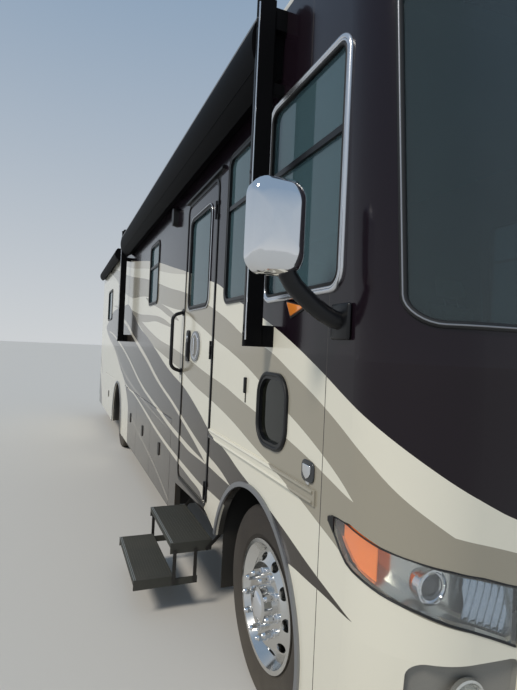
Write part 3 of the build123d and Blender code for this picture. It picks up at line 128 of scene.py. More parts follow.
def place(tree, group, **values):
    node = addNode(tree, "ShaderNodeGroup", node_tree=group)
    for key, value in values.items():
        feed(tree, node.inputs[key], value)
    return node


def srgb(*values):
    parts = [value / 255 for value in values]
    linear = [part / 12.92 if part <= 0.04045 else ((part + 0.055) / 1.055) ** 2.4 for part in parts]
    return (*linear, 1.0)


# shared surface effects
def makeGrain():
    group, source, sink = newGroup(
        "fineGrain",
        [("Scale", "NodeSocketFloat", 400.0), ("Depth", "NodeSocketFloat", 0.5),
         ("Distance", "NodeSocketFloat", 0.001)],
        [("Normal", "NodeSocketVector"), ("Value", "NodeSocketFloat")])
    noise = addNode(group, "ShaderNodeTexNoise")
    noise.inputs["Detail"].default_value = 3
    feed(group, noise.inputs["Vector"], objectSpot(group)[0])
    feed(group, noise.inputs["Scale"], source.outputs["Scale"])
    bump = addNode(group, "ShaderNodeBump")
    feed(group, bump.inputs["Strength"], source.outputs["Depth"])
    feed(group, bump.inputs["Distance"], source.outputs["Distance"])
    feed(group, bump.inputs["Height"], noise.outputs[0])
    feed(group, sink.inputs["Normal"], bump.outputs[0])
    feed(group, sink.inputs["Value"], noise.outputs[0])
    return group


def makeRoadDust():
    # dust thickens towards the ground and lies in soft patches
    group, source, sink = newGroup(
        "roadDust",
        [("Colour", "NodeSocketColor", (0, 0, 0, 1)), ("Dust Colour", "NodeSocketColor", srgb(150, 140, 122)),
         ("Height", "NodeSocketFloat", 0.9), ("Amount", "NodeSocketFloat", 0.35)],
        [("Colour", "NodeSocketColor"), ("Mask", "NodeSocketFloat")])
    spot, parts = objectSpot(group)
    noise = addNode(group, "ShaderNodeTexNoise")
    noise.inputs["Scale"].default_value = 3.5
    noise.inputs["Detail"].default_value = 6
    feed(group, noise.inputs["Vector"], spot)
    low = sums(group, "DIVIDE", parts[2], source.outputs["Height"])
    mask = sums(group, "MAXIMUM", sums(group, "SUBTRACT", 1.0, low), 0.0)
    for factor in (noise.outputs[0], source.outputs["Amount"], 2.0):
        mask = sums(group, "MULTIPLY", mask, factor)
    mask = sums(group, "MINIMUM", mask, 1.0)
    dusty = blendColour(group, mask, source.outputs["Colour"], source.outputs["Dust Colour"])
    feed(group, sink.inputs["Colour"], dusty)
    feed(group, sink.inputs["Mask"], mask)
    return group


# the coach's paint: curves of height over the length, wrapped round the corners
colours = {
    "cream": srgb(226, 222, 206),
    "plum": srgb(26, 18, 25),
    "taupe": srgb(157, 151, 136),
    "paleTaupe": srgb(196, 190, 176),
    "charcoal": srgb(62, 56, 50),
    "line": srgb(214, 208, 192),
    "fadedLine": srgb(140, 134, 124),
    "lining": srgb(62, 60, 57),
    "trim": srgb(15, 15, 17),
    "lip": srgb(150, 152, 156),
    "seam": srgb(62, 56, 52),
}
livery = {
    "bare": [((3.55, -1.31, 1.13), (4.99, -1.27, 1.20))],  # proud of the wall, yet painted: the belt rib
    "chrome": [((2.985, -1.31, 1.605), (3.245, -1.2806, 1.835))],  # the latch's bezel
    "strips": [((3.527, -1.29, 0.71), (3.570, -1.272, 2.852))],  # black beside the door's front edge
    "lips": [(4.33, 0.45, 0.60), (-1.747, 0.45, 0.64)],  # x, z and reach round each wheel arch
    "seams": [((5.0155, -1.29, 0.3), (5.0205, 1.29, 2.8)), ((4.783, -1.29, 2.7975), (5.018, 1.29, 2.8025)),
              ((4.7805, -1.29, 2.8), (4.7855, 1.29, 3.2))],
    "wallDepth": 0.012,
    "trimProud": 0.0006,
    "lined": (-5.2, 4.7),  # between these lengths the walls show a lining inside
    "lipMetal": 0.85,
    "curveTop": 4.0,
    "overPlum": ("charcoal", "line", "fadedLine"),
    "plumEdge": [
        (-6.9, 3.6), (-2.6, 3.36), (-0.78, 2.93), (0.91, 2.67), (1.54, 2.56), (2.15, 2.434),
        (2.74, 2.315), (3.3, 2.19), (3.6, 2.125), (3.82, 2.05), (4.1, 1.96), (4.44, 1.857), (4.7, 1.765),
        (4.97, 1.655), (5.153, 1.572), (5.35, 1.486), (5.528, 1.408), (5.77, 1.299), (5.918, 1.234),
        (6.3, 1.12), (6.9, 1.06)
    ],
    "stripes": [  # colour, upper edge, lower edge: each a list of (distance along the skin, height)
        ("paleTaupe",
         [(-2.7, 3.42), (-0.75, 2.95), (0.94, 2.69), (2.15, 2.45), (2.76, 2.33)],
         [(-2.7, 3.2), (-0.75, 2.815), (0.94, 2.575), (2.15, 2.375), (2.76, 2.29)]),
        ("taupe",
         [(-4.7, 3.30), (-3.2, 3.12), (-0.82, 2.705), (0.97, 2.446), (1.48, 2.357), (2.1, 2.245),
          (2.74, 2.144), (3.31, 2.024), (3.63, 1.945), (3.91, 1.862), (4.06, 1.81), (4.48, 1.716),
          (4.71, 1.635), (4.98, 1.533), (5.226, 1.419), (5.447, 1.295), (5.611, 1.218), (5.772, 1.142),
          (5.929, 1.075), (6.35, 0.95), (6.9, 0.90)],
         [(-4.7, 3.295), (-3.2, 2.98), (-0.71, 2.385), (0.89, 2.258), (1.64, 2.137), (2.23, 2.052),
          (2.8, 1.979), (3.063, 1.907), (3.345, 1.835), (3.543, 1.783), (3.916, 1.698), (4.233, 1.611),
          (4.55, 1.50), (4.777, 1.43), (4.956, 1.365), (5.088, 1.309), (5.191, 1.256), (5.232, 1.229),
          (5.6, 1.0), (6.0, 0.9), (6.9, 0.80)]),
        ("taupe",
         [(0.75, 2.262), (1.35, 2.189), (1.81, 2.107), (2.37, 1.983), (2.52, 1.935)],
         [(0.75, 2.25), (0.97, 2.194), (1.66, 2.076), (2.16, 1.974), (2.52, 1.925)]),
        ("taupe",
         [(-2.4, 2.34), (-1.4, 2.275), (-0.53, 2.19), (0.33, 2.087), (1.08, 2.041), (1.68, 1.994),
          (2.08, 1.931), (2.36, 1.866)],
         [(-2.4, 2.335), (-1.4, 2.215), (-0.53, 2.10), (0.33, 2.0), (0.83, 1.968), (1.41, 1.96),
          (1.85, 1.917), (2.36, 1.862)]),
        ("taupe",
         [(-3.0, 2.40), (-2.2, 2.35), (-0.53, 2.14), (0.36, 2.011), (1.13, 1.861), (1.73, 1.763),
          (2.22, 1.709), (2.87, 1.625), (3.42, 1.543), (3.83, 1.49), (4.103, 1.442), (4.369, 1.401),
          (4.709, 1.342), (4.921, 1.30), (5.078, 1.263), (5.232, 1.229), (5.6, 1.2), (6.9, 0.80)],
         [(-3.0, 2.395), (-2.2, 2.30), (-0.09, 2.045), (0.47, 1.908), (1.16, 1.739), (1.76, 1.644),
          (2.33, 1.57), (2.65, 1.525), (3.148, 1.431), (3.585, 1.373), (3.988, 1.307), (4.35, 1.229),
          (4.655, 1.172), (4.853, 1.125), (5.006, 1.083), (5.109, 1.055), (5.203, 1.027), (5.6, 0.93),
          (6.2, 0.83), (6.9, 0.80)]),
        ("charcoal",
         [(-4.3, 2.05), (-2.6, 2.3), (-0.9, 2.29), (-0.2, 2.099), (0.39, 1.915), (1.02, 1.784),
          (1.54, 1.659), (2.04, 1.535), (2.4, 1.462), (2.78, 1.398), (3.02, 1.34), (3.31, 1.255),
          (3.55, 1.178), (3.91, 1.114), (4.15, 1.059), (4.47, 1.005), (4.7, 0.957), (4.96, 0.897),
          (5.11, 0.868), (5.18, 0.855), (5.25, 0.841)],
         [(-4.3, 2.0), (-3.92, 1.874), (-2.42, 1.575), (-1.39, 1.28), (-0.67, 1.032), (-0.38, 0.80),
          (-0.3, 0.2), (3.1, 0.2), (3.9, 0.2), (4.3, 0.3), (4.62, 0.79), (4.77, 0.832), (4.96, 0.839),
          (5.11, 0.843), (5.18, 0.84), (5.25, 0.84)]),
        ("line",
         [(-1.6, 2.13), (-0.79, 1.993), (-0.21, 1.84), (0.45, 1.698), (1.08, 1.549), (1.55, 1.422),
          (1.89, 1.34), (2.4, 1.245), (2.87, 1.144), (3.12, 1.092), (3.46, 1.03), (3.6, 1.01),
          (3.71, 1.0), (3.85, 0.979), (4.0, 0.944)],
         [(-1.6, 2.10), (-0.89, 1.955), (-0.09, 1.765), (0.47, 1.636), (1.1, 1.493), (1.56, 1.375),
          (2.0, 1.285), (2.4, 1.212), (2.87, 1.108), (3.12, 1.052), (3.38, 0.985), (3.5, 0.955),
          (3.67, 0.948), (3.85, 0.944), (4.0, 0.942)]),
        ("line",
         [(-3.6, 1.93), (-3.14, 1.90), (-1.73, 1.72), (-0.5, 1.50), (0.0, 1.39), (0.45, 1.29),
          (0.9, 1.21), (1.32, 1.155), (1.9, 1.088), (2.37, 1.032), (2.76, 1.0), (3.09, 0.975),
          (3.5, 0.955)],
         [(-3.6, 1.91), (-3.14, 1.875), (-1.73, 1.685), (-0.5, 1.465), (0.0, 1.355), (0.45, 1.255),
          (0.9, 1.175), (1.32, 1.12), (1.9, 1.05), (2.37, 0.992), (2.76, 0.96), (3.09, 0.938),
          (3.5, 0.945)]),
        ("fadedLine",
         [(-3.3, 1.80), (-2.2, 1.58), (-1.2, 1.33), (-0.3, 1.19), (0.6, 1.10), (1.3, 1.04), (2.3, 0.975)],
         [(-3.3, 1.78), (-2.2, 1.545), (-1.2, 1.29), (-0.3, 1.15), (0.6, 1.075), (1.3, 1.025),
          (2.3, 0.973)]),
        ("line",
         [(-1.3, 1.27), (-0.83, 1.14), (0.22, 1.065), (1.04, 0.973), (1.69, 0.895), (2.2, 0.848),
          (2.61, 0.822), (3.12, 0.799), (3.45, 0.79), (3.6, 0.801), (3.9, 0.809)],
         [(-1.3, 1.26), (-0.83, 1.12), (0.22, 1.04), (1.04, 0.942), (1.69, 0.86), (2.2, 0.812),
          (2.61, 0.782), (3.12, 0.752), (3.4, 0.735), (3.56, 0.60), (3.62, 0.2)]),
        ("fadedLine",
         [(-0.3, 0.78), (0.3, 0.70), (0.93, 0.619), (1.48, 0.555), (1.94, 0.487), (2.43, 0.392)],
         [(-0.3, 0.76), (0.3, 0.68), (0.93, 0.60), (1.48, 0.535), (1.94, 0.466), (2.43, 0.37)]),
        # two sweeps that close the scheme across the rear cap, out of the photographed side
        ("taupe",
         [(-6.9, 1.66), (-6.3, 1.64), (-5.8, 1.56), (-5.4, 1.42), (-5.0, 1.18), (-4.7, 0.98)],
         [(-6.9, 1.46), (-6.3, 1.44), (-5.8, 1.36), (-5.4, 1.25), (-5.0, 1.08), (-4.7, 0.975)]),
        ("charcoal",
         [(-6.9, 1.34), (-6.3, 1.32), (-5.8, 1.22), (-5.4, 1.04), (-5.0, 0.76), (-4.7, 0.50),
          (-4.55, 0.30)],
         [(-6.9, 0.2), (-5.8, 0.2), (-4.55, 0.2)]),
    ],
}


def edgeCurve(tree, along, points):
    # height of one painted edge over the distance along the skin
    first, last = points[0][0], points[-1][0]
    reach = addNode(tree, "ShaderNodeMapRange", clamp=True)
    feed(tree, reach.inputs[0], along)
    reach.inputs[1].default_value = first
    reach.inputs[2].default_value = last
    curve = addNode(tree, "ShaderNodeFloatCurve")
    feed(tree, curve.inputs["Value"], reach.outputs[0])
    line = curve.mapping.curves[0]
    for count, (distance, height) in enumerate(points):
        x, y = (distance - first) / (last - first), height / livery["curveTop"]
        if count < 2:
            line.points[count].location = (x, y)
        else:
            line.points.new(x, y)
    for point in line.points:
        point.handle_type = "AUTO_CLAMPED"
    curve.mapping.update()
    return sums(tree, "MULTIPLY", curve.outputs[0], livery["curveTop"])


def makeLivery():
    group, source, sink = newGroup(
        "livery", [(name, "NodeSocketColor", colour) for name, colour in colours.items()],
        [("Colour", "NodeSocketColor"), ("Metal", "NodeSocketFloat"), ("Trim", "NodeSocketFloat")])

    def work(operation, *values):
        return sums(group, operation, *values)

    spot, (x, y, z) = objectSpot(group)
    across = work("ABSOLUTE", y)
    wrap = work("MAXIMUM", work("SUBTRACT", coach["halfWidth"], across), 0.0)
    along = work("ADD", x, work("MULTIPLY", wrap, work("SIGN", x)))
    plum = work("GREATER_THAN", z, edgeCurve(group, along, livery["plumEdge"]))
    colour = blendColour(group, plum, source.outputs["cream"], source.outputs["plum"])
    for name, upper, lower in livery["stripes"]:
        inside = work("LESS_THAN", z, edgeCurve(group, along, upper))
        inside = work("MULTIPLY", inside, work("GREATER_THAN", z, edgeCurve(group, along, lower)))
        inside = work("MULTIPLY", inside, work("GREATER_THAN", along, upper[0][0]))
        inside = work("MULTIPLY", inside, work("LESS_THAN", along, upper[-1][0]))
        if name not in livery["overPlum"]:
            inside = work("MULTIPLY", inside, work("SUBTRACT", 1.0, plum))
        colour = blendColour(group, inside, colour, source.outputs[name])
    # the walls' inner half and cut edges show their lining
    rear, front = livery["lined"]
    deep = work("LESS_THAN", across, coach["halfWidth"] - livery["wallDepth"])
    for end in (work("LESS_THAN", x, front), work("GREATER_THAN", x, rear)):
        deep = work("MULTIPLY", deep, end)
    colour = blendColour(group, deep, colour, source.outputs["lining"])
    # seams between the panels
    skin = work("GREATER_THAN", across, coach["halfWidth"] - livery["wallDepth"])
    for low, high in livery["seams"]:
        line = work("MULTIPLY", inBox(group, spot, low, high), skin)
        colour = blendColour(group, line, colour, source.outputs["seam"])
    # what stands proud of the walls: black trim, bright arch lips and the latch's bezel
    proud = work("GREATER_THAN", across, coach["halfWidth"] + livery["trimProud"])
    for low, high in livery["bare"]:
        proud = work("MULTIPLY", proud, work("SUBTRACT", 1.0, inBox(group, spot, low, high)))
    for low, high in livery["strips"]:
        proud = work("MAXIMUM", proud, inBox(group, spot, low, high))
    lip = 0.0
    for middleX, middleZ, reach in livery["lips"]:
        dx, dz = work("SUBTRACT", x, middleX), work("SUBTRACT", z, middleZ)
        gap = work("SQRT", work("MULTIPLY_ADD", dx, dx, work("MULTIPLY", dz, dz)))
        lip = work("MAXIMUM", lip, work("LESS_THAN", gap, reach))
    bright = work("MULTIPLY", lip, proud)
    for low, high in livery["chrome"]:
        bright = work("MAXIMUM", bright, inBox(group, spot, low, high))
    colour = blendColour(group, proud, colour, source.outputs["trim"])
    colour = blendColour(group, bright, colour, source.outputs["lip"])
    feed(group, sink.inputs["Colour"], colour)
    feed(group, sink.inputs["Metal"], work("MULTIPLY", bright, livery["lipMetal"]))
    feed(group, sink.inputs["Trim"], proud)
    return group


fineGrain = makeGrain()
roadDust = makeRoadDust()
liveryGroup = makeLivery()
print("surface groups made")


# materials
def startMaterial(name, **values):
    material = bpy.data.materials.new(name)
    material.use_nodes = True
    tree = material.node_tree
    shader = tree.nodes["Principled BSDF"]
    for key, value in values.items():
        shader.inputs[key].default_value = value
    return material, tree, shader


def tinted(colour, factor, lift=0.0):
    return [min(value * factor + lift, 1.0) for value in colour[:3]] + [1.0]


def paintMaterial():
    look = {"gloss": 0.16, "trimGloss": 0.35, "coat": 0.36, "peel": 0.03, "dust": 0.12, "dustHeight": 0.8,
            "dustGloss": 0.4}
    material, tree, shader = startMaterial(
        "coachPaint", **{"Coat Roughness": 0.03, "Specular IOR Level": 0.25, "Coat IOR": 1.3})
    paint = place(tree, liveryGroup)
    colour, trim = paint.outputs["Colour"], paint.outputs["Trim"]
    dust = place(tree, roadDust, Colour=colour, Amount=look["dust"], Height=look["dustHeight"])
    rough = sums(tree, "MULTIPLY_ADD", dust.outputs["Mask"], look["dustGloss"], look["gloss"])
    rough = sums(tree, "MULTIPLY_ADD", trim, look["trimGloss"] - look["gloss"], rough)
    grain = place(tree, fineGrain, Scale=14.0, Depth=look["peel"], Distance=0.01)
    feed(tree, shader.inputs["Base Color"], dust.outputs["Colour"])
    feed(tree, shader.inputs["Roughness"], rough)
    feed(tree, shader.inputs["Metallic"], paint.outputs["Metal"])
    feed(tree, shader.inputs["Coat Weight"], sums(tree, "MULTIPLY_ADD", trim, -look["coat"], look["coat"]))
    feed(tree, shader.inputs["Normal"], grain.outputs["Normal"])
    return material


def simpleMaterial(name, colour, roughness, metal=0.0, scale=300.0, depth=0.2, distance=0.0005, vary=0.06,
                   dust=0.0, dustHeight=0.9, specular=0.5, coat=0.0, glow=None):
    # one finish: its colour drifts a little with the grain, and dust settles low down
    material, tree, shader = startMaterial(
        name, Roughness=roughness, Metallic=metal, **{"Specular IOR Level": specular, "Coat Weight": coat})
    if glow:
        shader.inputs["Emission Color"].default_value, shader.inputs["Emission Strength"].default_value = glow
    grain = place(tree, fineGrain, Scale=scale, Depth=depth, Distance=distance)
    dark = [value * (1 - vary) for value in colour[:3]] + [1.0]
    tone = blendColour(tree, grain.outputs["Value"], dark, tinted(colour, 1 + vary, 0.002))
    if dust:
        layer = place(tree, roadDust, Colour=tone, Amount=dust, Height=dustHeight)
        tone = layer.outputs["Colour"]
    feed(tree, shader.inputs["Base Color"], tone)
    feed(tree, shader.inputs["Normal"], grain.outputs["Normal"])
    return material


def glassMaterial(name, colour, weight, lift, grainValues, ior, bayShadeColour=None, lowTop=1.7):
    # the low colour is painted shade for the small pane down by the front wheel, which looks into a dark bay
    material, tree, shader = startMaterial(
        name, Roughness=0.02, IOR=ior, Metallic=0.0, **{"Transmission Weight": weight})
    scale, depth, distance = grainValues
    grain = place(tree, fineGrain, Scale=scale, Depth=depth, Distance=distance)
    feed(tree, shader.inputs["Normal"], grain.outputs["Normal"])
    tone = blendColour(tree, grain.outputs["Value"], colour, tinted(colour, lift))
    # painted shade: below the low top the glass takes the dark low colour
    if bayShadeColour:
        height = objectSpot(tree)[1][2]
        tone = blendColour(tree, sums(tree, "LESS_THAN", height, lowTop), tone, bayShadeColour)
    feed(tree, shader.inputs["Base Color"], tone)
    return material


tread = {
    "slant": 1.6,
    "cuts": 84.0,
    "cutLevel": -0.72,
    "shoulder": 0.456,  # cuts run only outside this radius
    "grit": 0.12,
    "gritScale": 90,
    "rubber": srgb(36, 32, 30),
    "worn": srgb(66, 58, 51),
    "grooveShade": srgb(20, 18, 17),
}


def treadMaterial(name, centreX):
    # rubber whose shoulders carry fine cuts that run across the tread, the cuts darkened with painted shade
    material, tree, shader = startMaterial(name, Roughness=0.78)

    def work(operation, *values):
        return sums(tree, operation, *values)

    spot, (x, y, z) = objectSpot(tree)
    dx, dz = work("SUBTRACT", x, centreX), work("SUBTRACT", z, coach["axleZ"])
    turn = work("ARCTAN2", dz, dx)
    slant = work("MULTIPLY_ADD", work("ABSOLUTE", y), tread["slant"], turn)
    wave = work("SINE", work("MULTIPLY", slant, tread["cuts"]))
    cut = work("GREATER_THAN", wave, tread["cutLevel"])
    out = work("SQRT", work("ADD", work("MULTIPLY", dx, dx), work("MULTIPLY", dz, dz)))
    onTread = work("GREATER_THAN", out, tread["shoulder"])
    height = work("MULTIPLY_ADD", work("SUBTRACT", cut, 1.0), onTread, 1.0)
    noise = addNode(tree, "ShaderNodeTexNoise")
    noise.inputs["Scale"].default_value = tread["gritScale"]
    feed(tree, noise.inputs["Vector"], spot)
    height = work("MULTIPLY_ADD", noise.outputs[0], tread["grit"], height)
    bump = addNode(tree, "ShaderNodeBump")
    bump.inputs["Strength"].default_value = 0.9
    bump.inputs["Distance"].default_value = 0.004
    feed(tree, bump.inputs["Height"], height)
    feed(tree, shader.inputs["Normal"], bump.outputs[0])
    tone = blendColour(tree, work("MULTIPLY", noise.outputs[0], 0.5), tread["rubber"], tread["worn"])
    # painted shade: the cuts are darkened
    deep = work("MULTIPLY", work("SUBTRACT", 1.0, height), 0.7)
    tone = blendColour(tree, deep, tone, tread["grooveShade"])
    layer = place(tree, roadDust, Colour=tone, Amount=0.2, Height=1.0)
    feed(tree, shader.inputs["Base Color"], layer.outputs["Colour"])
    return material


paneGrain, lensGrain = (6.0, 0.02, 0.004), (60.0, 0.03, 0.002)  # scale, depth, distance
finishes = {
    "coachPaint": paintMaterial(),
    # the tinted glass's last colour is painted shade for the low pane
    "tintedGlass": glassMaterial("tintedGlass", srgb(96, 126, 134), 0.6, 1.15, paneGrain, 1.45,
                                 srgb(38, 40, 30)),
    "screenGlass": glassMaterial("screenGlass", srgb(104, 122, 126), 0.85, 1.15, paneGrain, 1.45),
    "clearLens": glassMaterial("clearLens", (0.93, 0.95, 0.96, 1), 0.95, 1.05, lensGrain, 1.3),
    "frontTread": treadMaterial("frontTread", coach["frontAxle"]),
    "rearTread": treadMaterial("rearTread", coach["rearAxle"]),
}
plainFinishes = {  # colour, roughness, then what differs from a plain satin
    "roofSkin": (srgb(214, 212, 204), 0.45, dict(scale=60, depth=0.1)),
    "blackRubber": (srgb(22, 22, 23), 0.55, dict(scale=500, depth=0.25)),
    "satinBlack": (srgb(15, 16, 19), 0.32, dict(scale=700, depth=0.1, specular=0.35)),
    "awningBlack": (srgb(11, 11, 13), 0.6, dict(scale=240, depth=0.15, specular=0.05)),
    "chassisBlack": (srgb(24, 23, 23), 0.6, dict(scale=120, depth=0.4, vary=0.2, dust=0.22)),
    "stepSteel": (srgb(20, 20, 21), 0.42, dict(vary=0.1, dust=0.05)),
    "brightChrome": ((0.80, 0.81, 0.83, 1), 0.06, dict(metal=1.0, scale=30, depth=0.04, vary=0.02)),
    "polishedAlloy": ((0.74, 0.74, 0.73, 1), 0.16,
                      dict(metal=1.0, scale=90, depth=0.06, vary=0.05, dust=0.25, dustHeight=1.0)),
    "brushedAlloy": ((0.62, 0.62, 0.61, 1), 0.35, dict(metal=1.0, scale=200, depth=0.1)),
    "tyreRubber": (srgb(38, 35, 33), 0.75, dict(scale=260, depth=0.5, vary=0.18, dust=0.35)),
    "stepTread": (srgb(50, 52, 48), 0.72, dict(scale=900, depth=0.6, vary=0.2, distance=0.0008, dust=0.08)),
    "stepGrit": (srgb(44, 46, 43), 0.85, dict(scale=1600, depth=0.9, vary=0.5, distance=0.0012, dust=0.25)),
    "nosingMetal": ((0.34, 0.35, 0.33, 1), 0.4, dict(metal=0.7, scale=200, depth=0.1)),
    "lampClear": (srgb(196, 200, 200), 0.08, dict(scale=40, depth=0.02)),
    "lampRed": (srgb(150, 14, 16), 0.08, dict(scale=60, depth=0.05)),
    "lampSilver": ((0.66, 0.66, 0.62, 1), 0.22, dict(metal=0.85, scale=50, depth=0.04)),
    "lampChrome": ((0.42, 0.50, 0.60, 1), 0.12, dict(metal=1.0, scale=40, depth=0.04, vary=0.1)),
    "amberBright": (srgb(255, 142, 62), 0.3, dict(scale=240, glow=(srgb(255, 120, 40), 0.3))),
    "amberLens": (srgb(236, 138, 52), 0.12, dict(scale=240, depth=0.25, coat=1.0)),
    "redLens": (srgb(176, 18, 20), 0.08, dict(scale=240, coat=1.0)),
    "clearLensWhite": (srgb(214, 218, 220), 0.08, dict(scale=240, coat=1.0)),
    "darkLens": (srgb(40, 44, 50), 0.05, dict(scale=20, depth=0.02, coat=1.0)),
    "mirrorGlass": ((0.86, 0.87, 0.88, 1), 0.01, dict(metal=1.0, scale=5, depth=0.005, vary=0.01)),
    # also gives the painted highlights down the awning arms
    "rimMetalAndHighlight": ((0.70, 0.71, 0.74, 1), 0.24, dict(metal=0.9, scale=160, depth=0.05)),
    # also gives the painted highlight along the awning case's top edge
    "dimTrimAndHighlight": ((0.30, 0.31, 0.33, 1), 0.35, dict(metal=0.7, scale=160, depth=0.05)),
    "badgeDark": (srgb(74, 76, 78), 0.25, dict(metal=0.6, scale=120, depth=0.08)),
    # a grey that paints the body colour in shade, for recesses
    "pocketShadeGrey": (srgb(132, 130, 124), 0.5, dict(scale=200, depth=0.15)),
    "plateWhite": (srgb(222, 222, 218), 0.45, dict(scale=80, depth=0.1)),
    "linerBlack": (srgb(17, 17, 17), 0.8, dict(scale=90, depth=0.4, vary=0.3, dust=0.12)),
    "castIron": (srgb(70, 68, 66), 0.6, dict(metal=0.6, scale=80, depth=0.5, vary=0.3)),
    "exhaustSteel": (srgb(120, 110, 98), 0.45, dict(metal=0.9, scale=30, depth=0.3, vary=0.35)),
    "tankPlastic": (srgb(26, 26, 26), 0.5, dict(depth=0.3)),
    "bayLining": (srgb(52, 51, 50), 0.75, dict(scale=400, depth=0.5)),
    "floorBoard": (srgb(118, 88, 60), 0.5, dict(scale=20, vary=0.2)),
    "dashVinyl": (srgb(40, 37, 35), 0.6, dict(scale=500, depth=0.5)),
    "seatLeather": (srgb(170, 152, 124), 0.5, dict(scale=160, depth=0.5, vary=0.08)),
}
for finishName, (colour, roughness, values) in plainFinishes.items():
    finishes[finishName] = simpleMaterial(finishName, colour, roughness, **values)

carried = {  # the CAD's own nodes that stay in view, and their finish
    "coachPaint": ["side_wall_right", "side_wall_left", "front_cap", "front_bumper", "front_hood", "rear_cap",
                   "entry_door", "bay_door_right_1", "bay_door_right_2", "bay_door_right_3",
                   "bay_door_right_4", "bay_door_left_1", "bay_door_left_2", "bay_door_left_3"],
    "roofSkin": ["roof", "roof_units"],
    "tintedGlass": ["side_glass", "entry_door_glass"],
    "screenGlass": ["windshield"],
    "blackRubber": ["wipers"],
    "satinBlack": ["window_frames", "grab_handle", "grille"],
    "awningBlack": ["awning_roller", "awning_arms"],
    "brightChrome": ["mirrors"],
    "lampClear": ["headlamps"],
    "lampRed": ["tail_lamps"],
    "brushedAlloy": ["ladder"],
    "chassisBlack": ["chassis_frame", "chassis_crossmembers", "hitch_receiver", "front_axle", "rear_axle",
                     "knuckle_right", "knuckle_left"],
    "stepSteel": ["step_arms", "step_links_inner", "step_links_outer", "step_frame"],
    "stepTread": ["step_upper", "step_lower"],
    "castIron": ["engine"],
    "tankPlastic": ["fuel_tank"],
    "exhaustSteel": ["exhaust"],
    "floorBoard": ["floor"],
    "bayLining": ["basement"],
    "dashVinyl": ["dashboard", "steering_wheel"],
    "seatLeather": ["front_seats"],
    "tyreRubber": ["front_tyre_right", "front_tyre_left", "rear_tyres_right", "rear_tyres_left"],
    "polishedAlloy": ["front_disc_right", "front_disc_left", "rear_discs_right", "rear_discs_left"],
}
for finishName, members in carried.items():
    for member in members:
        mesh = nodes[member].data
        mesh.materials.clear()
        mesh.materials.append(finishes[finishName])
print("carried-over nodes finished")


# modelling helpers, used as the operators are by hand
def clearSelection():
    if bpy.context.object and bpy.context.object.mode != "OBJECT":
        bpy.ops.object.mode_set(mode="OBJECT")
    bpy.ops.object.select_all(action="DESELECT")


def pick(*pieces):
    clearSelection()
    for piece in pieces:
        piece.select_set(True)
    bpy.context.view_layer.objects.active = pieces[0]


def editAll(piece):
    pick(piece)
    bpy.ops.object.mode_set(mode="EDIT")
    bpy.ops.mesh.select_all(action="SELECT")


def leaveEdit():
    bpy.ops.object.mode_set(mode="OBJECT")
    return bpy.context.object


def closeUp():
    # turn every face outwards and leave edit mode
    bpy.ops.mesh.select_all(action="SELECT")
    bpy.ops.mesh.normals_make_consistent(inside=False)
    return leaveEdit()


def pushBy(*step):
    bpy.ops.mesh.extrude_region_move(TRANSFORM_OT_translate={"value": step})


def applyModifier(piece, kind, **values):
    pick(piece)
    modifier = piece.modifiers.new(kind.title(), kind)
    for key, value in values.items():
        setattr(modifier, key, value)
    bpy.ops.object.modifier_apply(modifier=modifier.name)


def roundEdges(piece, bevel, segments):
    if bevel:
        applyModifier(piece, "BEVEL", width=bevel, segments=segments, limit_method="ANGLE",
                      angle_limit=radians(40))
    return piece


def applyPlace(piece):
    pick(piece)
    bpy.ops.object.transform_apply(location=True, rotation=True, scale=True)


def drawWire(points):
    # a chain of edges, extruded from point to point
    clearSelection()
    bpy.ops.mesh.primitive_plane_add(size=0.001, location=points[0])
    bpy.ops.object.transform_apply(location=True)
    bpy.ops.object.mode_set(mode="EDIT")
    bpy.ops.mesh.select_all(action="SELECT")
    bpy.ops.mesh.merge(type="CENTER")
    for before, after in zip(points, points[1:]):
        pushBy(*(Vector(after) - Vector(before)))
    return leaveEdit()


def openPlate(points):
    # a flat outline, filled and left in edit mode
    piece = drawWire(points)
    editAll(piece)
    bpy.ops.mesh.edge_face_add()
    return piece


def plate(points, push, bevel=0.0, segments=2):
    # a flat outline, filled and pushed to its thickness
    openPlate(points)
    pushBy(*push)
    return roundEdges(closeUp(), bevel, segments)


def block(low, high, bevel=0.0, segments=2):
    # a cube stretched between two corners, its edges rounded
    clearSelection()
    low, high = Vector(low), Vector(high)
    bpy.ops.mesh.primitive_cube_add(size=1, location=(low + high) / 2)
    piece = bpy.context.object
    piece.scale = high - low
    bpy.ops.object.transform_apply(location=True, rotation=True, scale=True)
    return roundEdges(piece, bevel, segments)


def turned(points, centre, axis, steps=48):
    # a profile spun once round an axis
    editAll(drawWire(points))
    bpy.ops.mesh.spin(steps=steps, angle=2 * pi, center=centre, axis=axis)
    bpy.ops.mesh.select_all(action="SELECT")
    bpy.ops.mesh.remove_doubles(threshold=0.00005)
    return closeUp()


def wallKnob(x, y, z, profile, steps):
    # a turned piece on the right wall: each row is a radius and how far it stands out
    return turned([(x + out, y - up, z) for out, up in profile], (x, 0, z), (0, 1, 0), steps)


def endKnob(x, y, z, profile, steps):
    # the same on a face that looks back
    return turned([(x - up, y + out, z) for out, up in profile], (0, y, z), (1, 0, 0), steps)


def bead(points, radius, closed=False, sides=3):
    # a round bead or tube along a line of points
    piece = drawWire(list(points) + ([points[0]] if closed else []))
    if closed:
        editAll(piece)
        bpy.ops.mesh.remove_doubles(threshold=0.00002)
        leaveEdit()
    pick(piece)
    bpy.ops.object.convert(target="CURVE")
    piece = bpy.context.object
    piece.data.bevel_depth = radius
    piece.data.bevel_resolution = sides
    piece.data.use_fill_caps = True
    bpy.ops.object.convert(target="MESH")
    editAll(bpy.context.object)
    bpy.ops.mesh.remove_doubles(threshold=0.00001)
    return closeUp()


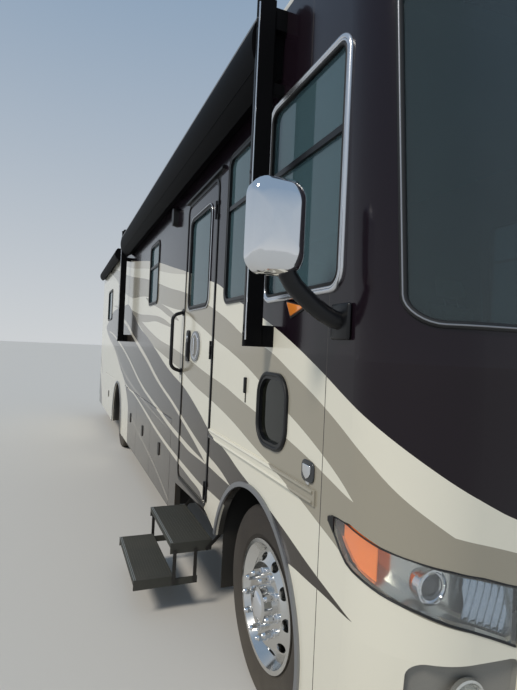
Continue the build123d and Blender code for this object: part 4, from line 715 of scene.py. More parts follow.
def copyMoved(piece, shift):
    pick(piece)
    bpy.ops.object.duplicate()
    fresh = bpy.context.object
    if fresh.data.users > 1:
        fresh.data = fresh.data.copy()
    fresh.location = Vector(shift)
    bpy.ops.object.transform_apply(location=True)
    return fresh


def join(pieces):
    pick(*pieces)
    if len(pieces) > 1:
        bpy.ops.object.join()
    return bpy.context.object


def newGrid(columns, rows):
    # two metres wide and tall about the origin
    clearSelection()
    bpy.ops.mesh.primitive_grid_add(x_subdivisions=columns, y_subdivisions=rows, size=2, location=(0, 0, 0))
    return bpy.context.object


def settle(piece, name, finish, body="coach", angle=35, replaces=()):
    piece.name = name
    piece.data.name = name
    piece.data.materials.clear()
    piece.data.materials.append(finishes[finish])
    pick(piece)
    bpy.ops.object.shade_smooth_by_angle(angle=radians(angle))
    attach(piece, body)
    if replaces:
        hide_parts(*replaces)
    return piece


def roundedLoop(left, right, low, high, radius, steps=6):
    # corners of a rounded rectangle, anticlockwise
    loop = []
    for cx, cz, start in ((right - radius, high - radius, 0), (left + radius, high - radius, 90),
                          (left + radius, low + radius, 180), (right - radius, low + radius, 270)):
        for count in range(steps + 1):
            turn = radians(start + 90 * count / steps)
            loop.append((cx + radius * cos(turn), cz + radius * sin(turn)))
    return loop


def roundedAbout(x, z, wide, tall, radius, steps=6):
    return roundedLoop(x - wide, x + wide, z - tall, z + tall, radius, steps)


def finer(loop, reachY, reachZ):
    # points between the corners of a closed outline, so that it can bow with the skin
    fine = []
    for (y0, z0), (y1, z1) in zip(loop, loop[1:] + loop[:1]):
        parts = max(1, int(max(abs(y1 - y0) / reachY, abs(z1 - z0) / reachZ)))
        fine += [(y0 + (y1 - y0) * k / parts, z0 + (z1 - z0) * k / parts) for k in range(parts)]
    return fine


def onWall(points, lift, side=-1):
    # outline points of x and z, laid on a side wall
    return [(x, side * (coach["halfWidth"] + lift), z) for x, z in points]


def wallPlate(points, lift, push, bevel=0.0, segments=2):
    return plate(onWall(points, lift), (0, -push, 0), bevel, segments)


def setback(z):
    table = coach["setbacks"]
    for (lowZ, lowBack), (highZ, highBack) in zip(table, table[1:]):
        if z <= highZ:
            return lowBack + (highBack - lowBack) * (z - lowZ) / (highZ - lowZ)
    return table[-1][1]


def noseSkin(y, z, proud=0.0):
    # a point on the front cap's skin, at a distance across and a height
    half, bow, corner = coach["halfWidth"], coach["noseBow"], coach["cornerRadius"]
    side = -1 if y < 0 else 1
    y = abs(y)
    big = (half * half + bow * bow) / (2 * bow)
    centre = coach["nose"] - setback(z) - big
    cornerY = half - corner
    cornerX = centre + sqrt((big - corner) ** 2 - cornerY ** 2)
    if y <= big * cornerY / (big - corner):
        x = centre + sqrt(big * big - y * y)
        normal = Vector((x - centre, y, 0)).normalized()
    else:
        x = cornerX + sqrt(max(corner ** 2 - (y - cornerY) ** 2, 0.0))
        normal = Vector((x - cornerX, y - cornerY, 0)).normalized()
    return Vector((x + normal.x * proud, side * (y + normal.y * proud), z))


def noseAlong(along, z, side=-1, proud=0.0):
    # the same, at a distance along the skin: the length, plus what is left of the half width round the corner
    low, high = 0.0, coach["halfWidth"]
    if along <= noseSkin(high, z).x:
        return Vector((along, side * (high + proud), z))
    for _ in range(40):
        middle = (low + high) / 2
        if noseSkin(middle, z).x + coach["halfWidth"] - middle > along:
            low = middle
        else:
            high = middle
    return noseSkin(side * max(low, 0.0005), z, proud)


def rearSkin(y):
    return coach["rear"] + coach["rearBow"] * (y / coach["halfWidth"]) ** 2


# tyres: ribbed treads with rounded shoulders and stepped side walls
tyre = {
    "halfWidth": 0.1175,
    "radius": 0.47,
    "bead": 0.293,
    "grooves": [-0.062, -0.021, 0.021, 0.062],
    "grooveHalf": 0.0045,
    "grooveDepth": 0.011,
    # in from the side, then up from the bead or down from the tread
    "flank": [(0.022, 0.0), (0.018, 0.012), (0.010, 0.028), (0.0075, 0.030), (0.004, 0.052), (0.0005, 0.078),
              (0.0, 0.095), (0.0015, 0.122), (0.0035, 0.124), (0.005, 0.140)],
    "shoulder": [(0.008, 0.018), (0.016, 0.007), (0.026, 0.001)],
    "steps": 72,
    "centres": {  # node and body, then where each tyre's middle lies
        ("front_tyre_right", "front_wheel_right"): [(4.4, -1.108)],
        ("front_tyre_left", "front_wheel_left"): [(4.4, 1.108)],
        ("rear_tyres_right", "rear_wheels_right"): [(-1.747, -1.0725), (-1.747, -0.7805)],
        ("rear_tyres_left", "rear_wheels_left"): [(-1.747, 1.0725), (-1.747, 0.7805)],
    },
}


def tyreProfile():
    half, radius = tyre["halfWidth"], tyre["radius"]
    flank = [(half - inset, tyre["bead"] + up) for inset, up in tyre["flank"]]
    flank += [(half - inset, radius - down) for inset, down in tyre["shoulder"]]
    wide, deep = tyre["grooveHalf"], radius - tyre["grooveDepth"]
    ribs = []
    for middle in reversed(tyre["grooves"]):
        ribs += [(middle + wide, radius), (middle + wide * 0.7, deep), (middle - wide * 0.7, deep),
                 (middle - wide, radius)]
    return flank + ribs + [(-across, out) for across, out in reversed(flank)]


def makeTyres():
    profile = tyreProfile()
    axleZ = coach["axleZ"]
    for (node, body), centres in tyre["centres"].items():
        made = []
        for x, y in centres:
            points = [(x, y + across, axleZ + out) for across, out in profile + profile[:1]]
            made.append(turned(points, (x, y, axleZ), (0, 1, 0), tyre["steps"]))
        finish = "frontTread" if "front" in node else "rearTread"
        settle(join(made), node.replace("tyre", "roadTyre"), finish, body, 32, (node,))


# wheels: long bright nut covers and a domed hub cover
wheel = {
    "nutCircle": 0.143,
    "nutCount": 10,
    "coverRadius": 0.0175,
    "coverTip": 0.010,
    "coverLength": 0.062,
    "hubRadius": 0.060,
    "hubDome": 0.012,
    "axles": [  # name, length, nut face and hub face from the centre plane, body
        ("front", coach["frontAxle"], 1.212, 1.258, "front_wheel_"),
        ("rear", coach["rearAxle"], 0.9405, 1.090, "rear_wheels_"),
    ],
}


def wheelKnob(x, side, faceY, z, profile, steps):
    return wallKnob(x, side * faceY, z, [(out, -side * up) for out, up in profile], steps)


def makeWheelTrim():
    wide, tip, long = wheel["coverRadius"], wheel["coverTip"], wheel["coverLength"]
    nut = [(0.0005, long), (tip * 0.7, long - 0.001), (tip, long - 0.006), (wide * 0.82, long * 0.45),
           (wide, long * 0.25), (wide, 0.004), (wide + 0.004, 0.002), (wide + 0.004, 0.0), (0.0005, 0.0)]
    broad, dome = wheel["hubRadius"], wheel["hubDome"]
    hub = [(0.0005, dome), (broad * 0.45, dome * 0.92), (broad * 0.8, dome * 0.55), (broad, 0.0),
           (broad + 0.004, -0.004), (broad + 0.006, -0.030), (broad + 0.018, -0.036)]
    circle, axleZ = wheel["nutCircle"], coach["axleZ"]
    for side, name in sides:
        for axle, x, faceY, hubY, body in wheel["axles"]:
            made = [wheelKnob(x + circle, side, faceY, axleZ, nut, 12)]
            for count in range(1, wheel["nutCount"]):
                turn = 2 * pi * count / wheel["nutCount"]
                made.append(copyMoved(made[0], (circle * (cos(turn) - 1), 0, circle * sin(turn))))
            made.append(wheelKnob(x, side, hubY, axleZ, hub, 40))
            settle(join(made), axle + "NutCovers" + name, "brightChrome",
                   body + name.lower(), 40)


# windscreen: rubber gasket with a thin dull insert
windscreen = {"half": 1.218, "low": 1.825, "high": 2.98, "corner": 0.09, "rubber": 0.013, "insert": 0.003}


def makeWindscreenTrim():
    half, rubber = windscreen["half"], windscreen["rubber"]
    loop = roundedLoop(-half, half, windscreen["low"], windscreen["high"], windscreen["corner"], 8)
    loop = finer(loop, 0.05, 0.05)
    gasket = bead([noseSkin(y, z) for y, z in loop], rubber, True, 4)
    settle(gasket, "windscreenGasket", "blackRubber", angle=50)
    insert = bead([noseSkin(y, z, rubber - 0.001) for y, z in loop], windscreen["insert"], True, 2)
    settle(insert, "windscreenInsert", "dimTrimAndHighlight", angle=50)


# headlamps behind clear lenses: edges as (distance along the skin, height)
headlamp = {
    "upper": [(5.075, 1.135), (5.110, 1.146), (5.16, 1.147), (5.203, 1.146), (5.369, 1.117), (5.507, 1.104),
              (5.681, 1.083), (5.80, 1.060), (5.935, 1.022)],
    "lower": [(5.085, 1.118), (5.125, 1.085), (5.17, 1.040), (5.215, 1.010), (5.378, 0.976), (5.548, 0.949),
              (5.746, 0.905), (5.85, 0.870), (5.95, 0.832)],
    "ends": (5.08, 5.945),
    "crown": 0.006,
    "depth": 0.075,
    "trayFocus": (4.9, 0.75),  # the tray's rim runs out from here, x and y
    "amber": (5.155, 5.345),
    "tip": (5.082, 5.122),
    "projector": (5.655, 1.008),
    "projectorRadius": 0.058,
    "mouthBack": 0.062,
    "barrel": [(0.62, -0.012), (0.70, 0.0), (0.80, -0.003), (0.86, 0.004), (0.96, 0.004), (1.0, -0.002),
               (0.94, -0.014), (0.97, -0.018), (0.90, -0.045)],  # share of the radius, forward
    "reflector": (5.745, 5.928),
    "columns": 96,
    "rows": 10,
    "fluteDepth": 0.012,
    "fluteWidth": 16,
    "bowl": 0.02,
}


def between(table, at):
    for (x0, z0), (x1, z1) in zip(table, table[1:]):
        if at <= x1:
            return z0 + (z1 - z0) * max(at - x0, 0.0) / (x1 - x0)
    return table[-1][1]


def lampPatch(side, ends, proud, columns, rows, shrink=0.0, crown=0.0, thickness=0.0):
    # a grid laid on the skin between the lamp's upper and lower edges
    piece = newGrid(columns, rows)
    first, last = ends
    for vertex in piece.data.vertices:
        u, v = (vertex.co.x + 1) / 2, (vertex.co.y + 1) / 2
        along = first + (last - first) * u
        high = between(headlamp["upper"], along) - shrink
        low = between(headlamp["lower"], along) + shrink
        bulge = crown * (1 - (2 * v - 1) ** 2) * min(1.0, 6 * u, 6 * (1 - u))
        vertex.co = noseAlong(along, low + (high - low) * v, side, proud + bulge)
    editAll(piece)
    closeUp()
    if thickness:
        applyModifier(piece, "SOLIDIFY", thickness=thickness, offset=-1)
    return piece


def makeLampShell(side, name):
    first, last = headlamp["ends"]
    lens = lampPatch(side, (first, last), 0.0, 60, 8, crown=headlamp["crown"], thickness=0.004)
    settle(lens, "headlampLens" + name, "clearLens", replaces=("headlamps",))
    tray = lampPatch(side, (first + 0.012, last - 0.012), -headlamp["depth"], 60, 6, 0.006)
    editAll(tray)
    bpy.ops.mesh.region_to_loop()
    bpy.ops.mesh.extrude_region_move()
    leaveEdit()
    focusX, focusY = headlamp["trayFocus"]
    for vertex in [vertex for vertex in tray.data.vertices if vertex.select]:
        away = Vector((vertex.co.x - focusX, vertex.co.y - side * focusY, 0))
        vertex.co += away.normalized() * (headlamp["depth"] - 0.003)
    settle(tray, "headlampTray" + name, "lampSilver", angle=50)
    amber = lampPatch(side, headlamp["amber"], -0.022, 16, 6, 0.014, thickness=0.006)
    settle(amber, "headlampAmber" + name, "amberBright")
    tip = lampPatch(side, headlamp["tip"], 0.0065, 10, 4, 0.001, thickness=0.005)
    settle(tip, "headlampTip" + name, "satinBlack")
    seals = []
    for edge, lift, proud, radius in (("lower", 0.002, 0.001, 0.0042), ("upper", -0.001, 0.0, 0.0026)):
        line = []
        for along in (5.10 + 0.035 * k for k in range(25)):
            line.append(noseAlong(along, between(headlamp[edge], along) + lift, side, proud))
        seals.append(bead(line, radius))
    settle(join(seals), "headlampSeals" + name, "blackRubber", angle=50)


def makeProjector(side, name):
    # it looks straight ahead: a bright barrel with a dark lens in its mouth
    mouth = noseAlong(*headlamp["projector"], side) - Vector((headlamp["mouthBack"], 0, 0))
    wide = headlamp["projectorRadius"]
    points = [mouth + Vector((ahead, 0, share * wide)) for share, ahead in headlamp["barrel"]]
    barrel = turned(points, mouth, (1, 0, 0), 40)
    settle(barrel, "headlampBowls" + name, "brightChrome", angle=50)
    radius = wide * 0.72
    points = []
    for turn in (radians(a) for a in (1, 20, 40, 60, 75, 90)):
        points.append(mouth + Vector((radius * 0.5 * cos(turn) - 0.014, 0, radius * sin(turn))))
    eye = turned(points, mouth, (1, 0, 0), 36)
    settle(eye, "headlampProjector" + name, "darkLens", angle=60)


def makeReflector(side, name):
    # the second lamp is a fluted reflector that fans out from its lower corner
    first, last = headlamp["reflector"]
    columns, rows = headlamp["columns"], headlamp["rows"]
    fan = lampPatch(side, (first, last), -0.040, columns, rows, 0.016)
    middle = ((first + last) / 2, 1.0)
    out = (noseAlong(*middle, side, 0.05) - noseAlong(*middle, side)).normalized()
    for count, vertex in enumerate(fan.data.vertices):
        column, row = count % (columns + 1), count // (columns + 1)
        flute = abs(sin((column - 2.2 * row) * pi / headlamp["fluteWidth"])) * sin(pi * row / rows) ** 0.5
        vertex.co += out * (headlamp["fluteDepth"] * flute + headlamp["bowl"] * (row / rows - 0.5) ** 2)
    applyModifier(fan, "SOLIDIFY", thickness=0.002, offset=-1)
    settle(fan, "headlampReflector" + name, "lampChrome", angle=30)


def makeHeadlamps():
    for side, name in sides:
        makeLampShell(side, name)
        makeProjector(side, name)
        makeReflector(side, name)


# fog lamps in shallow pockets below the headlamps, the pockets grey as body colour in painted shade
fog = {
    "centre": (1.005, 0.68),
    "pocket": (0.8205, 1.1895, 0.5605, 0.7995, 0.05),
    "set": -0.012,
    "ring": [(0.062, -0.012), (0.062, 0.004), (0.055, 0.007), (0.050, 0.0), (0.042, -0.010), (0.001, -0.014)],
    "lens": [(0.0005, 0.004), (0.03, 0.002), (0.051, -0.001)],  # radius, outwards
}


def makeFogLamps():
    for side, name in sides:
        openPlate([noseSkin(side * y, z, fog["set"]) for y, z in roundedLoop(*fog["pocket"], 5)])
        bpy.ops.mesh.inset(thickness=0.012, depth=-0.012)
        settle(closeUp(), "fogPocket" + name, "pocketShadeGrey")
        y, z = side * fog["centre"][0], fog["centre"][1]
        middle = noseSkin(y, z, fog["set"])
        out = (noseSkin(y, z, 0.05) - noseSkin(y, z)).normalized()
        up = Vector((0, 0, 1))
        for part, label, finish in (("ring", "fogLamp", "lampSilver"), ("lens", "fogLens", "clearLens")):
            points = [middle + up * radius + out * ahead for radius, ahead in fog[part]]
            settle(turned(points, middle, out, 36), label + name, finish, angle=50)


# mirrors: bright shells, glass behind and a black arm
mirror = {
    "x": 5.10,
    "out": 0.27,
    "z": 2.14,
    "width": 0.200,
    "height": 0.325,
    "corner": 0.062,
    "dome": [(0.020, 0.965), (0.012, 0.90), (0.007, 0.78), (0.004, 0.55)],  # forward, shrink
    "arm": [(5.115, 1.284, 1.835), (5.113, 1.32, 1.843), (5.110, 1.36, 1.862), (5.108, 1.40, 1.888),
            (5.107, 1.44, 1.918), (5.107, 1.475, 1.948), (5.108, 1.50, 1.982), (5.11, 1.51, 2.04)],
    "armRadius": 0.033,
    "foot": (5.06, 5.18, 1.77, 1.90),  # rear, front, low, high
    "footProud": 0.02,
}


def makeMirrors():
    loop = roundedAbout(0, 0, mirror["width"] / 2, mirror["height"] / 2, mirror["corner"], 8)
    for side, name in sides:
        x, y, z = mirror["x"], side * (coach["halfWidth"] + mirror["out"]), mirror["z"]
        openPlate([(x - 0.025, y + a, z + b) for a, b in loop])
        pushBy(0.040, 0, 0)
        for ahead, shrink in mirror["dome"]:
            pushBy(ahead, 0, 0)
            bpy.ops.transform.resize(value=(1, shrink, shrink), center_override=(x + 0.03, y, z))
        settle(closeUp(), "mirrorShell" + name, "brightChrome", angle=60,
               replaces=("mirrors",))
        glass = plate([(x - 0.028, y + a * 0.93, z + b * 0.95) for a, b in loop], (0.003, 0, 0))
        settle(glass, "mirrorGlass" + name, "mirrorGlass")
        line = [(along, side * out, up) for along, out, up in mirror["arm"]]
        arm = bead(line, mirror["armRadius"], sides=4)
        rear, front, low, high = mirror["foot"]
        inner, outer = side * coach["halfWidth"], side * (coach["halfWidth"] + mirror["footProud"])
        foot = block((rear, inner - 0.001, low), (front, outer + 0.001, high), 0.009)
        settle(join([arm, foot]), "mirrorArm" + name, "satinBlack", angle=50)


# rims and gaskets round the side windows: rear edge, front edge, sill, head, corner
window = {
    "cab": (4.4, 5.085, 1.97, 2.88, 0.06),
    "porthole": (4.38, 4.69, 1.28, 1.60, 0.10),
    "door": (2.86, 3.40, 2.01, 2.69, 0.06),
    "rear": (-4.0, -3.27, 2.16, 2.73, 0.06),
    "others": {-1: [(3.76, 4.28, 2.0, 2.87, 0.06), (1.0, 1.5, 2.16, 2.80, 0.06)],
               1: [(3.4, 4.1, 2.0, 2.87, 0.06), (0.6, 2.1, 2.0, 2.73, 0.06)]},
}


def windowBead(edges, grow, lift, radius, side=-1, thick=3):
    # a bead round a window, its outline grown a little and lifted off the wall
    rear, front, sill, head, corner = edges
    loop = roundedLoop(rear - grow, front + grow, sill - grow, head + grow, corner + grow, 8)
    return bead(onWall(loop, lift, side), radius, True, thick)


def makeWindowTrim():
    for side, name in sides:
        rims = [windowBead(window["cab"], 0.014, 0.003, 0.0115, side, 4),
                windowBead(window["cab"], 0.003, 0.006, 0.006, side)]
        settle(join(rims), "cabWindowRim" + name, "rimMetalAndHighlight", angle=50)
        panes = window["others"][side] + [window["rear"]]
        gaskets = [windowBead(edges, 0.006, 0.006, 0.005, side) for edges in panes]
        gaskets.append(windowBead(window["cab"], -0.010, 0.004, 0.007, side))
        if side < 0:
            gaskets.append(windowBead(window["porthole"], 0.006, 0.006, 0.008, side, 4))
        settle(join(gaskets), "windowGaskets" + name, "blackRubber", angle=50)


# small fittings on the right wall, in x and z
fitting = {
    "marker": [(4.703, 1.872), (4.828, 1.906), (4.660, 1.936)],  # a low amber lamp under the cab window
    "markerBase": [(4.696, 1.861), (4.852, 1.904), (4.646, 1.943)],
    "badge": (4.915, 1.255, 0.050, 0.042),  # a plain bright boss: middle, half width, half height
    "shield": [(-0.62, 0.62), (0.62, 0.62), (0.62, -0.1), (0.35, -0.5), (0.0, -0.72), (-0.35, -0.5),
               (-0.62, -0.1)],
    "badgeFoot": [(-0.6, 0.7), (0.6, 0.7), (0.9, 1.2), (-0.9, 1.2)],
    "catch": (4.186, 1.528, 0.010, 0.042),
    "ridgeEnds": (3.575, 4.965),
    "ridgeZs": (1.1455, 1.1845),
    "ridgeRadius": 0.0075,
}


def wallBlock(x, z, wide, tall, proud, deep, bevel, segments=2):
    y = -coach["halfWidth"]
    return block((x - wide, y - proud, z - tall), (x + wide, y - deep, z + tall), bevel, segments)


def makeFittings():
    lamp = wallPlate(fitting["marker"], -0.001, 0.012, 0.004, 3)
    settle(lamp, "sideMarkerLens", "amberLens")
    base = wallPlate(fitting["markerBase"], -0.001, 0.007, 0.003)
    settle(base, "sideMarkerBase", "blackRubber")
    x, z, wide, tall = fitting["badge"]
    boss = wallPlate(roundedAbout(x, z, wide, tall, 0.026), -0.001, 0.009, 0.004, 3)
    settle(boss, "sideBadgeRing", "badgeDark")
    shield = wallPlate([(x + a * wide, z + b * tall) for a, b in fitting["shield"]], 0.005, 0.009, 0.003, 3)
    low = z - tall - 0.035
    foot = wallPlate([(x + a * 0.02, low + b * 0.035) for a, b in fitting["badgeFoot"]], -0.001, 0.007, 0.002)
    settle(join([shield, foot]), "sideBadge", "brightChrome")
    x, z, wide, tall = fitting["catch"]
    pull = wallBlock(x, z, wide, tall, 0.014, -0.001, 0.004)
    tongue = wallBlock(x, z - tall - 0.025, 0.004, 0.025, 0.004, -0.001, 0.001)
    settle(join([pull, tongue]), "wallCatch", "satinBlack")
    # the ridges of the belt rib
    radius, (rear, front) = fitting["ridgeRadius"], fitting["ridgeEnds"]
    ridges = [bead(onWall([(rear, z), (front, z)], radius), radius) for z in fitting["ridgeZs"]]
    settle(join(ridges), "beltRidges", "coachPaint")


# entry door: latch paddle, key cylinder, bezel cup in grey painted shade and a thin bright line round the
# pane
doorTrim = {
    "paddle": (2.91, 1.72, 0.036, 0.104),  # x, z, half width, half height
    "grip": (-0.02, 0.026, -0.088, 0.03, 0.014),
    "keyUp": 0.066,
    "key": [(0.0005, 0.006), (0.010, 0.006), (0.013, 0.004), (0.014, 0.0)],  # radius, outwards
    "lock": (3.115, 1.72),
    "bezel": [(0.078, 0.0095), (0.083, 0.0135), (0.092, 0.0145), (0.099, 0.012), (0.101, 0.0), (0.078, 0.0),
              (0.078, 0.0095)],
    "cup": [(0.0005, 0.0105), (0.05, 0.0105), (0.076, 0.012), (0.080, 0.0125), (0.080, 0.001),
            (0.0005, 0.001)],
}


def makeDoorTrim():
    skinY = -coach["halfWidth"]
    x, z, wide, tall = doorTrim["paddle"]
    paddle = wallPlate(roundedAbout(x, z, wide, tall, 0.022, 5), 0.011, 0.006, 0.003)
    grip = [(x + a, z + b) for a, b in roundedLoop(*doorTrim["grip"], 4)]
    grip = wallPlate(grip, 0.016, 0.007, 0.004, 3)
    settle(join([paddle, grip]), "doorLatch", "satinBlack", "entry_door")
    key = wallKnob(x, skinY - 0.016, z + doorTrim["keyUp"], doorTrim["key"], 20)
    settle(key, "doorKeyCylinder", "brightChrome", "entry_door")
    x, z = doorTrim["lock"]
    rim = wallKnob(x, skinY, z, doorTrim["bezel"], 44)
    settle(rim, "doorLockBezel", "rimMetalAndHighlight", "entry_door")
    # painted shade: the cup's grey is the body colour in shade
    cup = wallKnob(x, skinY, z, doorTrim["cup"], 40)
    settle(cup, "doorLockCup", "pocketShadeGrey", "entry_door")
    pull = wallBlock(x + 0.002, z, 0.010, 0.062, 0.022, 0.009, 0.005, 3)
    settle(pull, "doorLockPull", "rimMetalAndHighlight", "entry_door")
    gasket = windowBead(window["door"], 0.004, 0.0075, 0.005)
    settle(gasket, "doorPaneGasket", "blackRubber", "entry_door", angle=50)
    line = windowBead(window["door"], 0.019, 0.0055, 0.0035)
    settle(line, "doorPaneLine", "rimMetalAndHighlight", "entry_door", angle=50)


# steps: fine ribs on each tread, a thin frame round them and two lines along the nosing
step = {
    "treads": [("step_upper", "stepUpper", -1.215), ("step_lower", "stepLower", -1.462)],  # and the wall edge
    "margin": 0.03,
    "wallMargin": 0.02,
    "ribs": 11,
    "ribMargin": 0.012,
    "ribRadius": 0.0015,
    "frameRadius": 0.0024,
    "nosingRadius": 0.0034,
    "nosingLines": (0.006, 0.016),
}


def makeStepTreads():
    for node, label, wallEdge in step["treads"]:
        low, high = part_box(node)
        top, inset = high[2], step["ribMargin"]
        x0, x1 = low[0] + step["margin"], high[0] - step["margin"]
        y0, y1 = low[1] + step["margin"], wallEdge - step["wallMargin"]
        ribs = []
        for count in range(step["ribs"]):
            y = y0 + inset + (y1 - y0 - 2 * inset) * count / (step["ribs"] - 1)
            ends = [(x, y, top - 0.0006) for x in (x0 + inset, x1 - inset)]
            ribs.append(bead(ends, step["ribRadius"], sides=2))
        settle(join(ribs), label + "Ribs", "stepGrit", node)
        loop = roundedLoop(x0 - 0.014, x1 + 0.014, y0 - 0.004, y1 + 0.008, 0.02, 4)
        border = bead([(x, y, top - 0.0012) for x, y in loop], step["frameRadius"], True)
        settle(border, label + "Frame", "stepGrit", node, angle=50)
        nosing = []
        for back in step["nosingLines"]:
            y, z = low[1] + back, top - 0.0016
            nosing.append(bead([(x0 - 0.024, y, z), (x1 + 0.024, y, z)], step["nosingRadius"]))
        settle(join(nosing), label + "Nosing", "nosingMetal", node, angle=50)


# awning: painted highlights as bright lines down the arms and along the case's top edge, a seam low on the
# case, inserts and bolt heads
awning = {
    "ends": (-0.778, 4.478),
    "armXs": (4.5, -0.8),
    "armEnds": (1.734, 3.345),
    "armWidth": 0.044,
    "armOuter": -1.424,
    "arcCentre": (-1.1957, 3.1589),  # the case's outer face, y and z
    "arcRadius": 0.2451,
    # the top entry is a painted highlight along the case's upper edge; the low one is a seam
    "seams": [("awningTopHighlight", 3.262, 0.007, "dimTrimAndHighlight"), ("awningLowSeam", 3.046, 0.004, "awningBlack")],
    "bolt": [(0.0005, 0.006), (0.007, 0.005), (0.011, 0.002), (0.012, -0.001)],  # radius, outwards
}


def makeAwningTrim():
    low, high = awning["armEnds"]
    outer = awning["armOuter"]
    lines, inserts = [], []
    for x in awning["armXs"]:
        # painted highlight: a bright line down each arm's outer edge
        edge = x + awning["armWidth"] / 2 - 0.001
        lines.append(bead([(edge, outer + 0.001, z) for z in (low + 0.03, high - 0.03)], 0.0035, sides=2))
        inserts.append(block((x - 0.010, outer - 0.002, low + 0.10), (x + 0.010, outer + 0.002, high - 0.14),
                             0.0015))
        for z in (low + 0.06, (low + high) / 2, high - 0.10):
            inserts.append(wallKnob(x, outer, z, awning["bolt"], 16))
    settle(join(lines), "awningArmHighlights", "rimMetalAndHighlight")
    settle(join(inserts), "awningArmInserts", "satinBlack")
    centreY, centreZ = awning["arcCentre"]
    for name, z, radius, finish in awning["seams"]:
        y = centreY - sqrt(awning["arcRadius"] ** 2 - (z - centreZ) ** 2) + 0.002
        seam = bead([(x, y, z) for x in awning["ends"]], radius)
        settle(seam, name, finish)


# liners in the wheel wells: boxed in front where the tyres steer, round behind
liner = {
    "front": [(3.785, 0.26), (3.785, 0.93), (3.85, 1.0), (4.88, 1.0), (4.945, 0.93), (4.945, 0.38)],  # x, z
    "rearCentre": (-1.747, 0.45),
    "rearRadius": 0.592,
    "rearLow": 0.335,
    "outer": 1.233,
    "frontInner": 0.60,
    "rearInner": 0.62,
}


def linerSheet(profile, side, inner):
    sheet = drawWire([(x, side * liner["outer"], z) for x, z in profile])
    editAll(sheet)
    for _ in range(3):
        pushBy(0, side * (inner - liner["outer"]) / 3, 0)
    leaveEdit()
    applyModifier(sheet, "SOLIDIFY", thickness=0.004, offset=0)
    editAll(sheet)
    return closeUp()


def makeLiners():
    (x, z), radius, low = liner["rearCentre"], liner["rearRadius"], liner["rearLow"]
    arc = [(x + radius * cos(radians(a)), z + radius * sin(radians(a))) for a in range(180, -1, -10)]
    arc = [(arc[0][0], low)] + arc + [(arc[-1][0], low)]
    for side, name in sides:
        front = linerSheet(liner["front"], side, liner["frontInner"])
        rear = linerSheet(arc, side, liner["rearInner"])
        settle(join([front, rear]), "wheelLiners" + name, "linerBlack", angle=30)


# grille: a bright surround and a fine net behind the slats
grille = {"half": 0.70, "low": 0.47, "high": 0.72, "corner": 0.012, "surround": 0.007, "net": -0.030,
          "netMargin": 0.01, "wire": 0.005}


def makeGrille():
    half, low, high = grille["half"], grille["low"], grille["high"]
    loop = finer(roundedLoop(-half, half, low, high, grille["corner"], 2), 0.06, 1.0)
    surround = bead([noseSkin(y, z, 0.001) for y, z in loop], grille["surround"], True)
    settle(surround, "grilleSurround", "rimMetalAndHighlight", angle=50)
    net = newGrid(64, 12)
    wide, tall = half + grille["netMargin"], (high - low) / 2 + grille["netMargin"]
    for vertex in net.data.vertices:
        vertex.co = noseSkin(vertex.co.x * wide, (low + high) / 2 + vertex.co.y * tall, grille["net"])
    applyModifier(net, "WIREFRAME", thickness=grille["wire"])
    settle(net, "grilleNet", "satinBlack")


# small lamps along the top edges, front and rear
topLamp = {
    "half": 0.048,
    "tall": 0.014,
    "proud": 0.016,
    "baseProud": 0.006,
    "baseGrow": (0.008, 0.007),
    "rows": [  # end, way out, finish, slot, how deep they sit, rounding, height, places across
        ("front", 1, "amberLens", "lamp_clear", 0.02, 0.011, 3.10, (-0.95, -0.22, 0.0, 0.22, 0.95)),
        ("rear", -1, "redLens", "lamp_red", 0.01, 0.008, 3.30, (-1.0, -0.2, 0.0, 0.2, 1.0)),
    ],
}


def topLampPart(back, out, y, z, grow, bevel, segments):
    wide, tall = topLamp["half"] + grow[0], topLamp["tall"] + grow[1]
    low, high = sorted((back, out))
    return block((low, y - wide, z - tall), (high, y + wide, z + tall), bevel, segments)


def makeTopLamps():
    for end, way, finish, slot, deep, rounding, z, places in topLamp["rows"]:
        lenses, bases = [], []
        for y in places:
            x = noseSkin(y or 0.0001, z).x if way > 0 else rearSkin(y)
            back = x - way * deep
            lenses.append(topLampPart(back, x + way * topLamp["proud"], y, z, (0, 0), rounding, 4))
            out = x + way * topLamp["baseProud"]
            bases.append(topLampPart(back, out, y, z, topLamp["baseGrow"], 0.004, 2))
        settle(join(lenses), end + "TopLamps", finish, angle=50)
        settle(join(bases), end + "TopLampBases", "satinBlack")


# rear end: lamp bezels with three ribbed lenses, blank plate, lower reflectors and a camera pod
tail = {
    "y": 1.08,
    "half": 0.055,
    "low": 0.88,
    "high": 1.26,
    "lenses": [("tailReverseLens", "clearLensWhite", "lamp_clear", 0.893, 0.975),
               ("tailTurnLens", "amberLens", "lamp_clear", 0.983, 1.075),
               ("tailBrakeLens", "redLens", "lamp_red", 1.083, 1.247)],
    "ribs": (-0.032, -0.016, 0.0, 0.016, 0.032),
    "plate": (0.155, 0.70, 0.86),  # half width, low, high
    "screwYs": (-0.09, 0.09),
    "screw": [(0.0005, 0.004), (0.006, 0.004), (0.008, 0.0)],  # radius, outwards
    "pod": (0.0, 0.055, 3.12, 3.19),  # middle across, half width, low, high
    "eye": [(0.0005, 0.004), (0.012, 0.003), (0.018, 0.0), (0.020, -0.004)],
    "strips": [(-0.72, 0.42, 0.562, 0.604), (0.72, 0.42, 0.562, 0.604)],
    "reflectors": [(-1.08, 0.045, 0.70, 0.74), (1.08, 0.045, 0.70, 0.74)],
}


